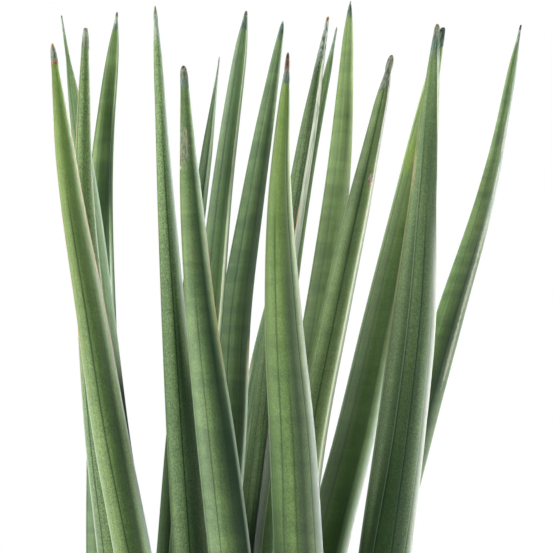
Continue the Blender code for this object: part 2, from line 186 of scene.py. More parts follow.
# across: sideways at each height, then at the tip
# depth: away from the viewer at the soil, at the photo's lower edge and at the tip
# width: at each height, then at the shoulder; tip: its height; point: widths at the tip drops
# channel: where the open channel faces, degrees from the right-hand side; round: thickness over width
leafPlan = {
    "leaf_01": {"across": [-22, -35.5, -49, -59, -67.5, -76.5, -84], "depth": [-51, -50, -72],
                "width": [16, 17, 17, 16, 13.5, 10, 8.5], "tip": 594.5, "channel": 70, "round": 0.96,
                "point": [6.3, 4.9, 3.6, 3.2, 2.8, 2.3, 1.5, 0.9]},
    "leaf_02": {"across": [-33, -42.5, -51.5, -59.5, -65.5, -71.5, -83.5], "depth": [-12, -10, -16],
                "width": [14.5, 15, 15, 14, 12.5, 9.5, 6.5], "tip": 611, "channel": 20, "round": 0.92,
                "point": [4, 2, 1.4, 1.2, 1, 0.9, 0.8, 0.6]},
    "leaf_03": {"across": [-41, -49.5, -58, -64.5, -69, -72, -71], "depth": [-34, -30, -42],
                "width": [15.5, 16.5, 16.5, 15, 12.5, 8.5, 6.5], "tip": 603.5, "channel": 55, "round": 0.95,
                "point": [5.5, 4.6, 3.8, 3.5, 3.1, 2.8, 2.2, 1.6]},
    "leaf_04": {"across": [-57, -61, -65, -65.5, -67.5, -68, -60.5], "depth": [-4, 12, 36],
                "width": [16, 17, 17.5, 16.5, 14, 11.5, 8], "tip": 616.5, "channel": -10, "round": 0.9,
                "point": [6.8, 5.4, 3.7, 2.6, 2, 1.4, 1.1, 0.7]},
    "leaf_05": {"across": [-12, -18.5, -24.5, -28.5, -32, -35.5, -40], "depth": [-30, -26, -40],
                "width": [15, 15.5, 16, 13.5, 11, 7.5, 5], "tip": 613.5, "channel": 100, "round": 0.97,
                "point": [4.3, 3.5, 2.6, 2.1, 2, 1.5, 0.9, 0.6]},
    "leaf_06": {"across": [11, 2.5, -6, -12.5, -19, -23.5, -26.5], "depth": [-53, -48, -68],
                "width": [17, 18.5, 19, 17.5, 13.5, 9.5, 8.5], "tip": 585, "channel": 80, "round": 0.96,
                "point": [6.2, 5, 4, 3.7, 3.5, 3.1, 2.4, 1.4]},
    "leaf_07": {"across": [-54, -45, -36.5, -32.5, -27.5, -21, -12.5], "depth": [26, 26, 46],
                "width": [13, 11.5, 10, 9, 7.5, 6, 5.2], "tip": 596, "channel": -30, "round": 0.95,
                "point": [3.5, 2.3, 1.4, 1, 0.8, 0.75, 0.7, 0.5]},
    "leaf_08": {"across": [-36, -31.5, -26.5, -22.5, -16.5, -11, 0.5], "depth": [12, -1, 10],
                "width": [15.5, 16.5, 17, 15.5, 13, 10, 8], "tip": 615, "channel": -12, "round": 0.88,
                "point": [7, 6, 4.5, 3.4, 2.5, 1.9, 1.5, 1]},
    "leaf_09": {"across": [-25, -18.5, -12, -7.5, -4.5, 3.5, 17.5], "depth": [34, 22, 40],
                "width": [15.5, 16.5, 17, 16, 14.5, 11, 8], "tip": 612.5, "channel": 30, "round": 0.94,
                "point": [6.2, 5, 3.8, 3, 2.4, 1.9, 1.2, 0.7]},
    "leaf_10": {"across": [-34, -20.5, -7.5, 2, 19], "depth": [52, 44, 54],
                "width": [13, 13, 13, 12.5, 9], "tip": 513, "channel": -60, "round": 0.95,
                "point": [6.6, 4.8, 3.6, 2.8, 2.2, 1.8, 1.2, 0.7]},
    "leaf_11": {"across": [35, 30, 24.5, 21.5, 17.5, 16, 19.5], "depth": [-51, -56, -80],
                "width": [20, 21.5, 22, 20.5, 16.5, 10, 8], "tip": 590, "channel": 75, "round": 0.94,
                "point": [6.2, 4.8, 3.2, 2.3, 2.1, 1.7, 1.3, 0.8]},
    "leaf_12": {"across": [-14, -6.5, 1.5, 8, 15, 24, 38], "depth": [-5, -20, -16],
                "width": [13, 12.5, 12, 12, 11, 9, 7], "tip": 610.5, "channel": -28, "round": 1.0,
                "point": [5.1, 4, 2.9, 2.3, 1.8, 1.6, 1.5, 1]},
    "leaf_13": {"across": [-12, -1.5, 9, 14.2, 19.3, 27.3, 42.5], "depth": [16, 1, 16],
                "width": [12, 11, 9, 8.5, 7.5, 6, 4.5], "tip": 608, "channel": 150, "round": 0.95,
                "point": [3.7, 3.2, 2.1, 1.5, 1.1, 1, 0.9, 0.5]},
    "leaf_14": {"across": [0, 8.5, 16.5, 25, 34.5, 42.5, 49.5], "depth": [38, 20, 46],
                "width": [15, 16, 16.5, 16, 14, 12, 8], "tip": 622.5, "channel": 20, "round": 0.9,
                "point": [6.3, 5.2, 3.8, 2.9, 2.1, 1.5, 0.8, 0.6]},
    "leaf_15": {"across": [8, 15, 22.5, 30, 41, 53, 67], "depth": [-23, -26, -16],
                "width": [15, 16, 16.5, 15, 13.5, 10.5, 8.5], "tip": 593, "channel": -10, "round": 0.95,
                "point": [7, 5.9, 4, 2.9, 3.3, 3, 2.3, 1.3]},
    "leaf_16": {"across": [3, 20, 37, 51, 63, 75.5, 92], "depth": [4, 2, 18],
                "width": [18, 20, 20.5, 19, 16, 12.5, 9.5], "tip": 608, "channel": 120, "round": 0.88,
                "point": [7.4, 5.9, 4.5, 3.7, 3.3, 2.9, 2.6, 2]},
    "leaf_17": {"across": [43, 52.5, 62.5, 69.5, 75.5, 79.5, 85.5], "depth": [-28, -44, -66],
                "width": [20, 23, 23.5, 22, 19.5, 11.5, 9], "tip": 603.5, "channel": 10, "round": 0.94,
                "point": [7.1, 5.6, 4.3, 3.6, 3, 2.6, 2, 1.2], "twist": -48},
    "leaf_18": {"across": [22, 43.5, 65, 79.5, 95.5, 112.5, 129.5], "depth": [20, 8, 36],
                "width": [15.5, 17, 17, 16, 13.5, 9, 5.6], "tip": 610.5, "channel": 140, "round": 0.9,
                "point": [4.8, 3.9, 2.5, 1.8, 1.4, 1.1, 1, 0.8]},
}

leafForm = {
    "foot": 104.3,  # where the leaf grows out of its runner
    "shoulder": 45,  # distance below the tip of the last of the plain widths
    "leastStep": 12,
    "flutes": 8, "fluteDepth": 0.012,  # soft ribs, as a share of the radius
    "channelHalf": 42, "channelHollow": 0.07,
    "grooveDepth": 0.2, "grooveReach": [0.28, 0.8],  # mm
    "grooveShare": [0.14, 0.28], "grooveMost": 0.09, "grooveSide": 0.55,  # limits where the leaf is thin
    "grooveFade": 0.12, "grooveFaint": 0.4,  # how soon a groove ends, and the depth of the faintest
    "grooveClear": 7,  # degrees kept free beside the channel
    "leastReach": 0.5,
    "fill": 4,  # columns between two grooves
    "ringStep": 4.5,
    "leanSpan": 10,
    "unevenness": 0.012, "waves": [0.8, 38],  # soft waves: how often across, and their length in mm
}
tipRings = {"from": 48, "shrink": 0.9, "closerBelow": 20, "shrinkCloser": 0.88, "least": 0.3, "last": 0.25}
toTip = 2  # a groove's reach when it runs out over the tip

# grooves: where each lies at the photo's lower edge, halfway and at the tip, in degrees from the right-hand
# side (-90 faces the viewer), how dark its line is, the leaf's own stripe with painted shade in the hollow,
# how much painted highlight the lip beside it has, and how far up it reaches
frontGrooves = {
    "leaf_01": [((-99, -107, -100), 1.0, 0.1, 0.76), ((-136, -134, -132), 0.15, 0.1),
                ((-54, -50, -48), 0.15, 0.1)],
    "leaf_02": [((-124, -122, -120), 0.5, 0.2), ((-70, -68, -66), 0.3, 0.1)],
    "leaf_03": [((-128, -138, -150), 1.0, 0.3), ((-80, -84, -88), 0.2, 0.1)],
    "leaf_04": [((-114, -116, -118), 0.3, 0.1), ((-68, -69, -70), 0.3, 0.1)],
    "leaf_05": [((-89, -87, -86), 1.0, 0.2, 0.8), ((-46, -48, -50), 0.2, 0.1)],
    "leaf_06": [((-114, -106, -98), 0.7, 0.1, 0.6), ((-64, -63, -62), 0.15, 0.0)],
    "leaf_07": [((-100, -100, -100), 0.4, 0.1)],
    "leaf_08": [((-108, -110, -112), 0.5, 0.1), ((-74, -76, -78), 0.3, 0.1)],
    "leaf_09": [((-106, -108, -110), 0.5, 0.1), ((-60, -62, -64), 0.3, 0.1)],
    "leaf_10": [((-150, -150, -150), 0.3, 0.1), ((-122, -122, -122), 0.3, 0.1)],
    "leaf_11": [((-126, -114, -114), 0.8, 0.0, 0.75), ((-92, -86, -80), 0.6, 0.0, 0.42),
                ((-47, -50, -58), 0.9, 0.5)],
    "leaf_12": [((-122, -125, -128), 0.4, 0.2), ((-92, -94, -96), 0.5, 0.2)],
    "leaf_13": [((-112, -112, -112), 0.4, 0.1), ((-70, -70, -70), 0.3, 0.1)],
    "leaf_14": [((-108, -110, -112), 0.3, 0.1), ((-68, -70, -72), 0.3, 0.1)],
    "leaf_15": [((-132, -132, -132), 0.25, 0.1), ((-96, -95, -102), 1.0, 0.1)],
    "leaf_16": [((-152, -148, -144), 0.8, 0.1), ((-118, -113, -108), 0.35, 0.0),
                ((-70, -68, -66), 0.15, 0.0)],
    "leaf_17": [((-121, -109, -128), 0.7, 0.8, 0.85), ((-83, -81, -84), 0.9, 0.2, 0.7),
                ((-54, -54, -92), 0.9, 0.9, 0.55)],
    "leaf_18": [((-112, -114, -116), 0.4, 0.1), ((-70, -72, -74), 0.3, 0.1)],
}
# grooves round the back, with the same dark lines and painted lip highlights
backGrooves = {"angles": [0, 28, 62, 96, 130, 165, 200], "dark": 0.5, "lip": 0.1, "clear": 12, "apart": 22}


# painted light and shade on the skin at some heights: left side, front, the dark part right of it, right rim
leafPaintedLight = {
    "leaf_01": [(370, 0.88, 0.58, 0.6, 2.4), (420, 1.0, 0.74, 0.42, 1.0), (475, 0.92, 0.66, 0.72, 1.75),
                (513, 0.94, 0.64, 0.88, 1.4), (555, 0.98, 0.78, 0.86, 1.5), (580, 0.75, 0.93, 1.1, 1.3)],
    "leaf_02": [(440, 1.0, 1.0, 0.4, 0.35), (460, 1.0, 1.1, 1.5, 1.8), (480, 1.0, 1.1, 2.0, 2.2),
                (530, 1.0, 1.2, 2.0, 2.2), (552, 0.95, 1.2, 1.9, 1.5), (580, 0.82, 0.95, 2.1, 1.3)],
    "leaf_03": [(370, 0.8, 0.9, 0.8, 0.9), (560, 0.98, 0.93, 0.8, 1.0), (590, 0.98, 0.9, 0.88, 1.6)],
    "leaf_04": [(485, 0.9, 0.6, 1.2, 1.7), (505, 1.2, 0.5, 0.8, 1.3), (530, 1.35, 0.54, 0.58, 0.3),
                (550, 1.02, 0.66, 0.8, 0.25), (565, 0.84, 0.54, 0.62, 0.4), (582, 0.9, 0.62, 0.95, 1.0),
                (601, 1.0, 1.0, 2.0, 0.9)],
    "leaf_05": [(375, 1.35, 0.72, 0.48, 0.95), (408, 1.4, 0.78, 0.6, 0.6), (440, 1.35, 0.8, 0.44, 0.6),
                (460, 1.28, 0.82, 0.4, 1.2), (490, 1.22, 1.0, 0.6, 1.9), (530, 1.28, 1.14, 0.95, 1.8),
                (560, 1.25, 1.35, 0.95, 1.7), (580, 1.15, 1.45, 1.2, 1.4)],
    "leaf_06": [(375, 1.3, 0.98, 0.48, 0.24), (412, 1.3, 0.92, 0.34, 0.4), (458, 1.42, 0.96, 0.34, 0.85),
                (500, 1.25, 0.74, 0.5, 1.5), (541, 1.03, 0.82, 0.62, 1.7), (573, 0.78, 0.88, 0.9, 1.1)],
    "leaf_07": [(510, 0.65, 0.7, 0.3, 0.5), (535, 0.7, 0.85, 0.5, 0.8), (560, 0.6, 1.2, 0.6, 1.1),
                (585, 0.7, 1.2, 1.0, 1.8)],
    "leaf_08": [(500, 0.95, 0.9, 1.0, 1.9), (515, 0.88, 0.88, 0.92, 1.6), (540, 0.85, 0.86, 0.7, 0.5),
                (573, 0.95, 0.8, 0.85, 0.85), (592, 0.95, 0.75, 1.15, 1.1)],
    "leaf_09": [(500, 0.8, 0.92, 0.78, 0.5), (536, 0.85, 1.05, 0.76, 0.52), (560, 0.97, 1.12, 0.72, 0.7),
                (592, 0.95, 1.24, 1.1, 1.6)],
    "leaf_10": [(365, 0.75, 0.85, 0.6, 0.45), (400, 0.85, 0.95, 0.75, 0.5), (436, 0.55, 1.25, 1.3, 1.2),
                (475, 0.9, 1.3, 1.3, 1.2)],
    "leaf_11": [(370, 0.54, 0.9, 0.54, 1.65), (400, 0.68, 0.92, 0.54, 1.6), (435, 0.82, 0.94, 0.54, 1.45),
                (480, 0.86, 0.98, 0.6, 1.1), (518, 0.82, 0.94, 0.76, 1.2), (560, 0.77, 1.08, 0.86, 1.25)],
    "leaf_12": [(376, 0.45, 0.5, 0.22, 0.6), (394, 1.0, 1.0, 0.36, 0.8), (412, 1.0, 1.1, 0.42, 0.8),
                (440, 0.95, 0.85, 0.7, 0.85), (520, 1.0, 1.0, 0.75, 0.9), (550, 0.95, 0.95, 0.75, 0.9),
                (574, 0.85, 0.6, 0.9, 0.7), (592, 0.6, 0.5, 1.6, 0.8)],
    "leaf_13": [(376, 0.5, 0.8, 1.5, 1.2), (394, 1.2, 1.2, 1.4, 1.2), (420, 0.45, 0.8, 1.1, 0.8),
                (530, 0.45, 0.8, 1.1, 0.8), (560, 0.5, 0.95, 1.1, 0.8), (582, 0.7, 1.3, 1.3, 0.9),
                (592, 1.15, 1.3, 1.3, 1.0)],
    "leaf_14": [(520, 0.85, 0.95, 1.6, 0.6), (550, 1.2, 1.4, 1.35, 1.2), (569, 1.18, 1.2, 0.9, 1.1),
                (587, 1.2, 1.5, 1.8, 1.4), (605, 0.95, 1.45, 1.9, 1.5)],
    "leaf_15": [(463, 1.1, 0.8, 0.9, 2.0), (490, 1.2, 0.72, 0.92, 1.9), (510, 1.15, 0.62, 0.92, 1.8),
                (532, 0.9, 0.6, 1.1, 1.5), (555, 0.95, 0.84, 1.12, 0.45), (578, 1.1, 1.05, 1.0, 0.3)],
    "leaf_16": [(380, 0.9, 0.62, 0.27, 1.9), (403, 0.72, 0.62, 0.48, 2.3), (430, 0.88, 0.66, 0.6, 2.4),
                (510, 0.95, 0.85, 0.7, 1.0), (550, 1.2, 1.1, 0.7, 1.0), (580, 1.2, 1.2, 1.1, 1.0)],
    "leaf_17": [(370, 0.5, 0.38, 0.56, 1.0), (400, 0.82, 0.4, 0.58, 1.1), (440, 0.88, 0.6, 0.56, 1.3),
                (480, 0.92, 0.84, 0.7, 1.0), (520, 0.98, 0.98, 0.72, 0.75), (550, 1.0, 0.82, 0.72, 0.8),
                (582, 0.95, 0.8, 1.2, 0.9)],
    "leaf_18": [(472, 1.8, 0.85, 0.48, 0.75), (500, 1.8, 1.4, 0.68, 0.95), (523, 1.45, 1.08, 1.0, 1.7),
                (535, 1.2, 0.88, 1.3, 1.85), (555, 1.6, 0.9, 1.7, 1.85), (590, 1.1, 0.66, 2.0, 1.9)],
}
lowPaintedLight = (0.9, 0.8, 0.7, 0.75)  # reached well below the photo's lower edge
unseenFade = (350, 270)  # between these heights

# angles and painted shades behind the outline, and where the right rim's own painted light ends
behind = {"leftTurn": -215, "left": 0.7, "rimTurn": -4, "rightTurn": 16, "right": 0.6,
          "backTurns": (70, 130), "back": 0.7}
# where the painted shade turns bluer, and where the deeper green of the painted shade lies across the front
nightTurns = (-110, -80)
shadedGreenTurns = (-86, -38, -62)
# how the painted sheen and the painted white rim light spread
paintedSheenForm = {"rims": (0.8, 1.6), "wide": 24, "curves": (2, 0.9), "whiteSteps": (-2, 26),
             "sheenRightTurns": (-90, -55), "sheenRightDrops": (10, 90), "sheenLeftTurns": (-95, -125), "sheenLeftDrops": (40, 150)}
# ends of the painted lit edge lines
edgeForm = {"leftEnd": (-205, -185), "rightEnd": (20, 8), "fade": 15, "fadeTop": 12}
# a sharp fold: where it lies and the painted shade in it
creaseForm = {"beside": 4, "drift": 10, "driftShares": (0.85, 0.6), "dark": 0.3, "startShares": (0.2, 0.4),
              "endShares": (0.72, 0.6), "steps": (-6, 2, 9, 14)}

# flattened faces: from and to which angle, how flat at the photo's lower edge and at the tip
leafFlats = {
    "leaf_17": [(-121, -54, 0.6, 0.2)],
    "leaf_11": [(-124, -54, 0.25, 0.1)],
    "leaf_16": [(-125, -70, 0.3, 0.1)],
}


def smoothValue(knots, values, at):  # smooth curve through unevenly spaced stations
    last = len(knots) - 1

    def slope(i):
        low, high = max(i - 1, 0), min(i + 1, last)
        if low == i or high == i:
            return (values[high] - values[low]) / (knots[high] - knots[low])
        below, above = knots[i] - knots[low], knots[high] - knots[i]
        riseBelow = (values[i] - values[low]) / below
        riseAbove = (values[high] - values[i]) / above
        return (riseBelow * above + riseAbove * below) / (below + above)

    i, t = findStep(knots, at)
    span = knots[i + 1] - knots[i]
    return ((2 * t ** 3 - 3 * t ** 2 + 1) * values[i] + (3 * t ** 2 - 2 * t ** 3) * values[i + 1]
            + (t ** 3 - 2 * t ** 2 + t) * span * slope(i) + (t ** 3 - t ** 2) * span * slope(i + 1))


class LeafLine:  # centre line and width of one leaf, by height
    def __init__(self, plan):
        self.tip = plan["tip"]
        self.stations = leafHeights[:len(plan["across"]) - 1]
        self.across, self.depth = plan["across"], plan["depth"]
        self.widthKnots, self.widths = list(self.stations), list(plan["width"][:-1])
        shoulder = self.tip - leafForm["shoulder"]
        if shoulder > self.widthKnots[-1] + leafForm["leastStep"]:
            self.widthKnots.append(shoulder)
            self.widths.append(plan["width"][-1])
        for drop, width in zip(tipDrops, plan["point"]):
            self.widthKnots.append(self.tip - drop)
            self.widths.append(width)

    def centre(self, height):
        base = self.stations[0]
        at = max(height, base)
        x = smoothValue(self.stations + [self.tip], self.across, at)
        y = smoothValue([base, self.stations[2], self.tip], self.depth, at)
        if height < base:
            span = leafForm["leanSpan"]
            above = smoothValue(self.stations + [self.tip], self.across, base + span)
            x -= (above - x) * (base - height) / span
        return x, y

    def width(self, height):
        return smoothValue(self.widthKnots, self.widths, height)


def ringHeights(tip):  # even steps, then ever smaller ones up to the tip
    heights = []
    height = leafForm["foot"]
    while height < tip - tipRings["from"] - 2:
        heights.append(height)
        height += leafForm["ringStep"]
    drop = tipRings["from"]
    while drop > tipRings["least"]:
        heights.append(tip - drop)
        drop *= tipRings["shrink"] if drop > tipRings["closerBelow"] else tipRings["shrinkCloser"]
    heights.append(tip - tipRings["last"])
    return heights


def turnAt(turns, share):  # angle at a share of the way to the tip
    low, middle, top = turns
    ends = low * (1 - share) * (1 - 2 * share) + top * share * (2 * share - 1)
    return ends + 4 * middle * share * (1 - share)


def wrapped(angle):  # the same angle, from -180 to 180
    return (angle + 180) % 360 - 180


def chord(half, turn):  # a straight cut across a round, seen from its middle
    return math.cos(math.radians(half)) / math.cos(math.radians(turn))


def leafGrooves(name, plan, looks):  # edges of the channel and grooves, in their order round the leaf
    half = leafForm["channelHalf"]

    def free(angle, gap):  # clear of the channel and its edges
        return abs(wrapped(angle - plan["channel"])) > half + gap

    grooves = [((angle,) * 3, "margin", *looks["seam"], toTip)
             for angle in (plan["channel"] - half, plan["channel"] + half)]
    for turns, dark, lip, *reach in frontGrooves[name]:
        if all(free(turn, leafForm["grooveClear"]) for turn in turns[:2]):
            grooves.append((turns, "groove", dark, lip, reach[0] if reach else toTip))
    for angle in backGrooves["angles"]:
        near = min(abs(wrapped(angle - groove[0][0])) for groove in grooves)
        if free(angle, backGrooves["clear"]) and near > backGrooves["apart"]:
            grooves.append(((angle,) * 3, "groove", backGrooves["dark"], backGrooves["lip"], toTip))
    turned = []
    for turns, *rest in grooves:  # all within one turn, from -180 to 180
        shift = -360 * math.floor((turns[0] + 180) / 360)
        turned.append((tuple(turn + shift for turn in turns), *rest))
    return sorted(turned)


def columnsAt(grooves, turns, reach):  # angles, each with its groove or edge and the strength of that there
    columns = []
    count, fill = len(grooves), leafForm["fill"]
    for i, (groove, here) in enumerate(zip(grooves, turns)):
        following = grooves[(i + 1) % count]
        there = turns[(i + 1) % count] + (360 if i == count - 1 else 0)
        gap = there - here
        near, far = [min(math.degrees(offset / max(reach, leafForm["leastReach"])), gap * part)
                     for offset, part in zip(leafForm["grooveReach"], leafForm["grooveShare"])]
        columns += [(here, groove, 1.0), (here + near, groove, leafForm["grooveSide"]),
                    (here + far, groove, 0.0)]
        columns += [(here + far + (gap - 2 * far) * k / fill, groove, 0.0) for k in range(1, fill)]
        columns += [(there - far, following, 0.0), (there - near, following, -following[3])]
    return columns


def radiusAt(angle, away, cut, flats, share):  # as a share of the leaf's half width
    half = leafForm["channelHalf"]
    radius = 1 - leafForm["fluteDepth"] * 0.5 * (1 - math.cos(leafForm["flutes"] * math.radians(angle)))
    if abs(away) < half + 0.01:
        radius = min(radius, chord(half, away) - leafForm["channelHollow"] * (1 - (away / half) ** 2))
    radius -= cut
    for start, end, lowShare, tipShare in flats:
        flatHalf, turn = (end - start) / 2, wrapped(angle - (start + end) / 2)
        if abs(turn) < flatHalf:
            radius += min(chord(flatHalf, turn) - radius, 0) * between(lowShare, tipShare, share)
    return radius


def paintedLightAt(shades, height):  # painted light and shade of the left, the front, the dark part and the rim
    i, part = findStep([row[0] for row in shades], height)
    values = [between(a, b, part) for a, b in zip(shades[i][1:], shades[i + 1][1:])]
    return [between(a, b, ramp(height, *unseenFade)) for a, b in zip(values, lowPaintedLight)]


def creaseAt(name, share):  # where the left side ends sharply, and how dark the painted shade in the fold there is
    form = creaseForm
    beside = form["beside"] + form["drift"] * ramp(share, *form["driftShares"])
    depth = ramp(share, *form["startShares"]) * ramp(share, *form["endShares"])
    return turnAt(frontGrooves[name][0][0], share) - beside, 1 - form["dark"] * depth


# painted light and shade at one angle round the leaf
def shadeAt(values, angle, turns, looks, share, crease):
    left, front, dark, rim = values
    if angle > behind["rightTurn"]:
        return between(behind["right"], behind["back"], ramp(angle, *behind["backTurns"]))
    stops = [(behind["leftTurn"], behind["left"]), (-180, left * looks["border"]), (turns[0], left),
             (turns[1], front), (turns[2], dark), (turns[3], rim),
             (behind["rimTurn"], rim * between(*looks["outer"], share)),
             (behind["rightTurn"], behind["right"])]
    if crease:
        turn, fold = crease
        shades = (left, front * fold, front * fold, front)
        stops[2:4] = [(turn + step, shade) for step, shade in zip(creaseForm["steps"], shades)]
    i, part = findStep([stop[0] for stop in stops], angle)
    return between(stops[i][1], stops[i + 1][1], part)


def paintedSheenAt(rim, angle, turns, drop, looks):  # painted grey sheen and rim light on the right, and painted sheen on the left
    share = ramp(rim, *paintedSheenForm["rims"])
    end = ramp(angle, behind["rightTurn"], 0)
    spread = ramp(angle, turns[2] + 1, turns[3] + paintedSheenForm["wide"]) ** between(*paintedSheenForm["curves"], share)
    paintedSheenRight = ramp(angle, *paintedSheenForm["sheenRightTurns"]) * ramp(drop, *paintedSheenForm["sheenRightDrops"])
    paintedSheenLeft = ramp(angle, *paintedSheenForm["sheenLeftTurns"]) * ramp(drop, *paintedSheenForm["sheenLeftDrops"])
    return max(share * spread * end, looks["paintedSheenLeft"] * paintedSheenLeft, looks["paintedSheenRight"] * paintedSheenRight * end)


def paintedRimLightAt(angle, turns, height, looks):  # painted white rim light on the right
    if not looks["white"]:
        return 0.0
    high, gone = looks["white"]
    rise = ramp(height, gone, high) * ramp(height, unseenFade[1], unseenFade[0])
    start, full = (turns[3] + step for step in paintedSheenForm["whiteSteps"])
    return rise * ramp(angle, start, full) * ramp(angle, behind["rightTurn"], 0)


def edgeAt(angle, height, looks):  # line on the left, a painted lit rim where it is pale low down and tan higher up, and a painted pale lit rim on the right
    edge = 0.0
    if looks["edge"]:
        strength, wide, *top = looks["edge"]
        edge = strength * ramp(angle, wide - 180, wide - 190) * ramp(angle, *edgeForm["leftEnd"])
        if top:
            edge *= ramp(height, top[0], top[0] - edgeForm["fadeTop"])
    if looks["edgeRight"]:
        strength, low, high, wide = looks["edgeRight"]
        rise = ramp(height, low - edgeForm["fade"], low) * ramp(height, high + edgeForm["fade"], high)
        edge = max(edge, strength * rise * ramp(angle, -wide, 8 - wide) * ramp(angle, *edgeForm["rightEnd"]))
    return edge


# most of these layers carry painted light and shade: the shade itself, the shaded side's colour, sheen, rim
# light and lit edge lines
layerNames = ("groove", "margin", "channel", "drop", "shade", "night", "bloom", "white", "edge", "shadedGreen")


def leafRing(name, plan, looks, grooves, line, height, seed):  # points of one ring with their paint
    reach, drop = line.width(height) / 2, line.tip - height
    share = ramp(height, photoEdge, line.tip)
    twist = plan.get("twist", 0) * share ** 5
    turns = [turnAt(path, share) + (twist if kind == "margin" else 0) for path, kind, *rest in grooves]
    values = paintedLightAt(leafPaintedLight[name], height)
    crease = creaseAt(name, share) if looks["creased"] else None
    topTurns = looks["turnsTop"] or looks["turns"]
    shadeTurns = [between(a, b, share) for a, b in zip(looks["turns"], topTurns)]
    channel = plan["channel"] + twist
    points = []
    for angle, (path, kind, dark, lip, ends), strength in columnsAt(grooves, turns, reach):
        strength *= ramp(share, ends, ends - leafForm["grooveFade"])
        away = wrapped(angle - channel)
        deepest = min(leafForm["grooveDepth"] / max(reach, leafForm["leastReach"]), leafForm["grooveMost"])
        cut = deepest * strength * between(leafForm["grooveFaint"], 1, dark) if dark else 0
        radius = radiusAt(angle, away, cut, leafFlats.get(name, ()), share)
        a, turn = math.radians(angle), (angle - behind["leftTurn"]) % 360 + behind["leftTurn"]
        wide, long = leafForm["waves"]
        spot = Vector((math.cos(a) * wide, math.sin(a) * wide, height / long + seed * 7.3))
        radius *= 1 + leafForm["unevenness"] * noise.noise(spot)
        # across the front, where the painted shade is a deeper green
        front = ramp(turn, looks["shadedGreenFrom"], shadedGreenTurns[0]) * ramp(turn, *shadedGreenTurns[1:])
        points.append((radius * math.cos(a), radius * math.sin(a) * plan["round"], a, {
            "shade": shadeAt(values, turn, shadeTurns, looks, share, crease),
            "bloom": paintedSheenAt(values[3], turn, shadeTurns, drop, looks),
            "white": paintedRimLightAt(turn, shadeTurns, height, looks),
            "edge": edgeAt(turn, height, looks),
            "night": looks["night"] * ramp(turn, *nightTurns),
            "shadedGreen": looks["shadedGreen"] * front,
            "drop": drop,
            "groove": strength * dark if strength > 0 else strength,
            "margin": max(strength, 0.0) if kind == "margin" else 0.0,
            "channel": 1.0 if abs(away) < leafForm["channelHalf"] - 0.5 else 0.0}))
    return reach, points


def buildLeaf(name, plan, looks, seed):
    line, grooves = LeafLine(plan), leafGrooves(name, plan, looks)
    mesh = bmesh.new()
    layers = {key: mesh.verts.layers.float.new(key) for key in layerNames}
    straight = mesh.verts.layers.float_vector.new("straight")
    heights = ringHeights(line.tip)
    rows = []
    for height in heights:
        x, y = line.centre(height)
        reach, points = leafRing(name, plan, looks, grooves, line, height, seed)
        left, right = min(p[0] for p in points), max(p[0] for p in points)
        middle, span = (left + right) / 2, (right - left) / 2
        row = []
        for u, v, a, paints in points:
            place = (x + reach * (u - middle) / span, y + reach * v / span, height)
            vert = mesh.verts.new(tuple(c * mm for c in place))
            for key, value in paints.items():
                vert[layers[key]] = value
            vert[straight] = (math.cos(a) * reach, math.sin(a) * reach, height)
            row.append(vert)
        rows.append(row)
    joinRings(mesh, rows)
    for row, height, flip in ((rows[0], heights[0], True), (rows[-1], line.tip, False)):
        x, y = line.centre(height)
        end = mesh.verts.new((x * mm, y * mm, height * mm))
        end[straight] = (0, 0, height)
        end[layers["drop"]] = line.tip - height
        for i in range(len(row)):
            j = (i + 1) % len(row)
            mesh.faces.new((end, row[j], row[i]) if flip else (end, row[i], row[j]))
    return mesh


skinTones = {
    "light": paint(141, 164, 101), "dark": paint(99, 128, 82), "blue": paint(84, 120, 94),
    # the deep and night tones colour the painted shade
    "sun": paint(152, 176, 58), "deep": paint(42, 94, 28), "night": paint(54, 92, 72),
    # painted sheen and rim light in grey and cream, and white for painted white rim light
    "bloom": paint(151, 162, 155), "cream": paint(166, 170, 148), "white": paint(238, 242, 234),
    "haze": paint(208, 224, 222), "edgeTop": paint(172, 142, 100),
    # the pale colour of the painted lit edge lines
    "edgeLow": paint(170, 186, 166),
    # groove: dark lines with painted shade in them; channel: made pale by painted backlight
    "groove": paint(36, 68, 48), "channel": paint(208, 214, 192), "vein": paint(142, 160, 134),
    # the tint after the margin colour is painted shade, a deeper green across the front
    "margin": paint(150, 96, 66), "shadedGreen": paint(231, 255, 218),
    # lip: painted highlight on the raised lips
    "lip": paint(158, 180, 160), "pale": paint(196, 206, 160),
}
tipTones = {  # light and dark patches of the dried tips
    "ash": (paint(150, 158, 136), paint(98, 106, 90)), "umber": (paint(146, 124, 106), paint(84, 66, 56)),
    "slate": (paint(122, 142, 126), paint(86, 108, 96)), "teal": (paint(112, 128, 110), paint(38, 58, 56)),
    "mist": (paint(178, 194, 174), paint(146, 162, 144)), "rust": (paint(206, 142, 88), paint(160, 86, 46)),
    "chaff": (paint(176, 188, 172), paint(92, 108, 92)), "tan": (paint(188, 174, 136), paint(158, 150, 112)),
    "lime": (paint(160, 184, 84), paint(136, 162, 76)),
    "ivory": (paint(236, 232, 216), paint(214, 214, 198)),
    "cream": (paint(226, 214, 196), paint(196, 170, 140)),
    "scab": (paint(214, 190, 176), paint(128, 108, 96)),
}

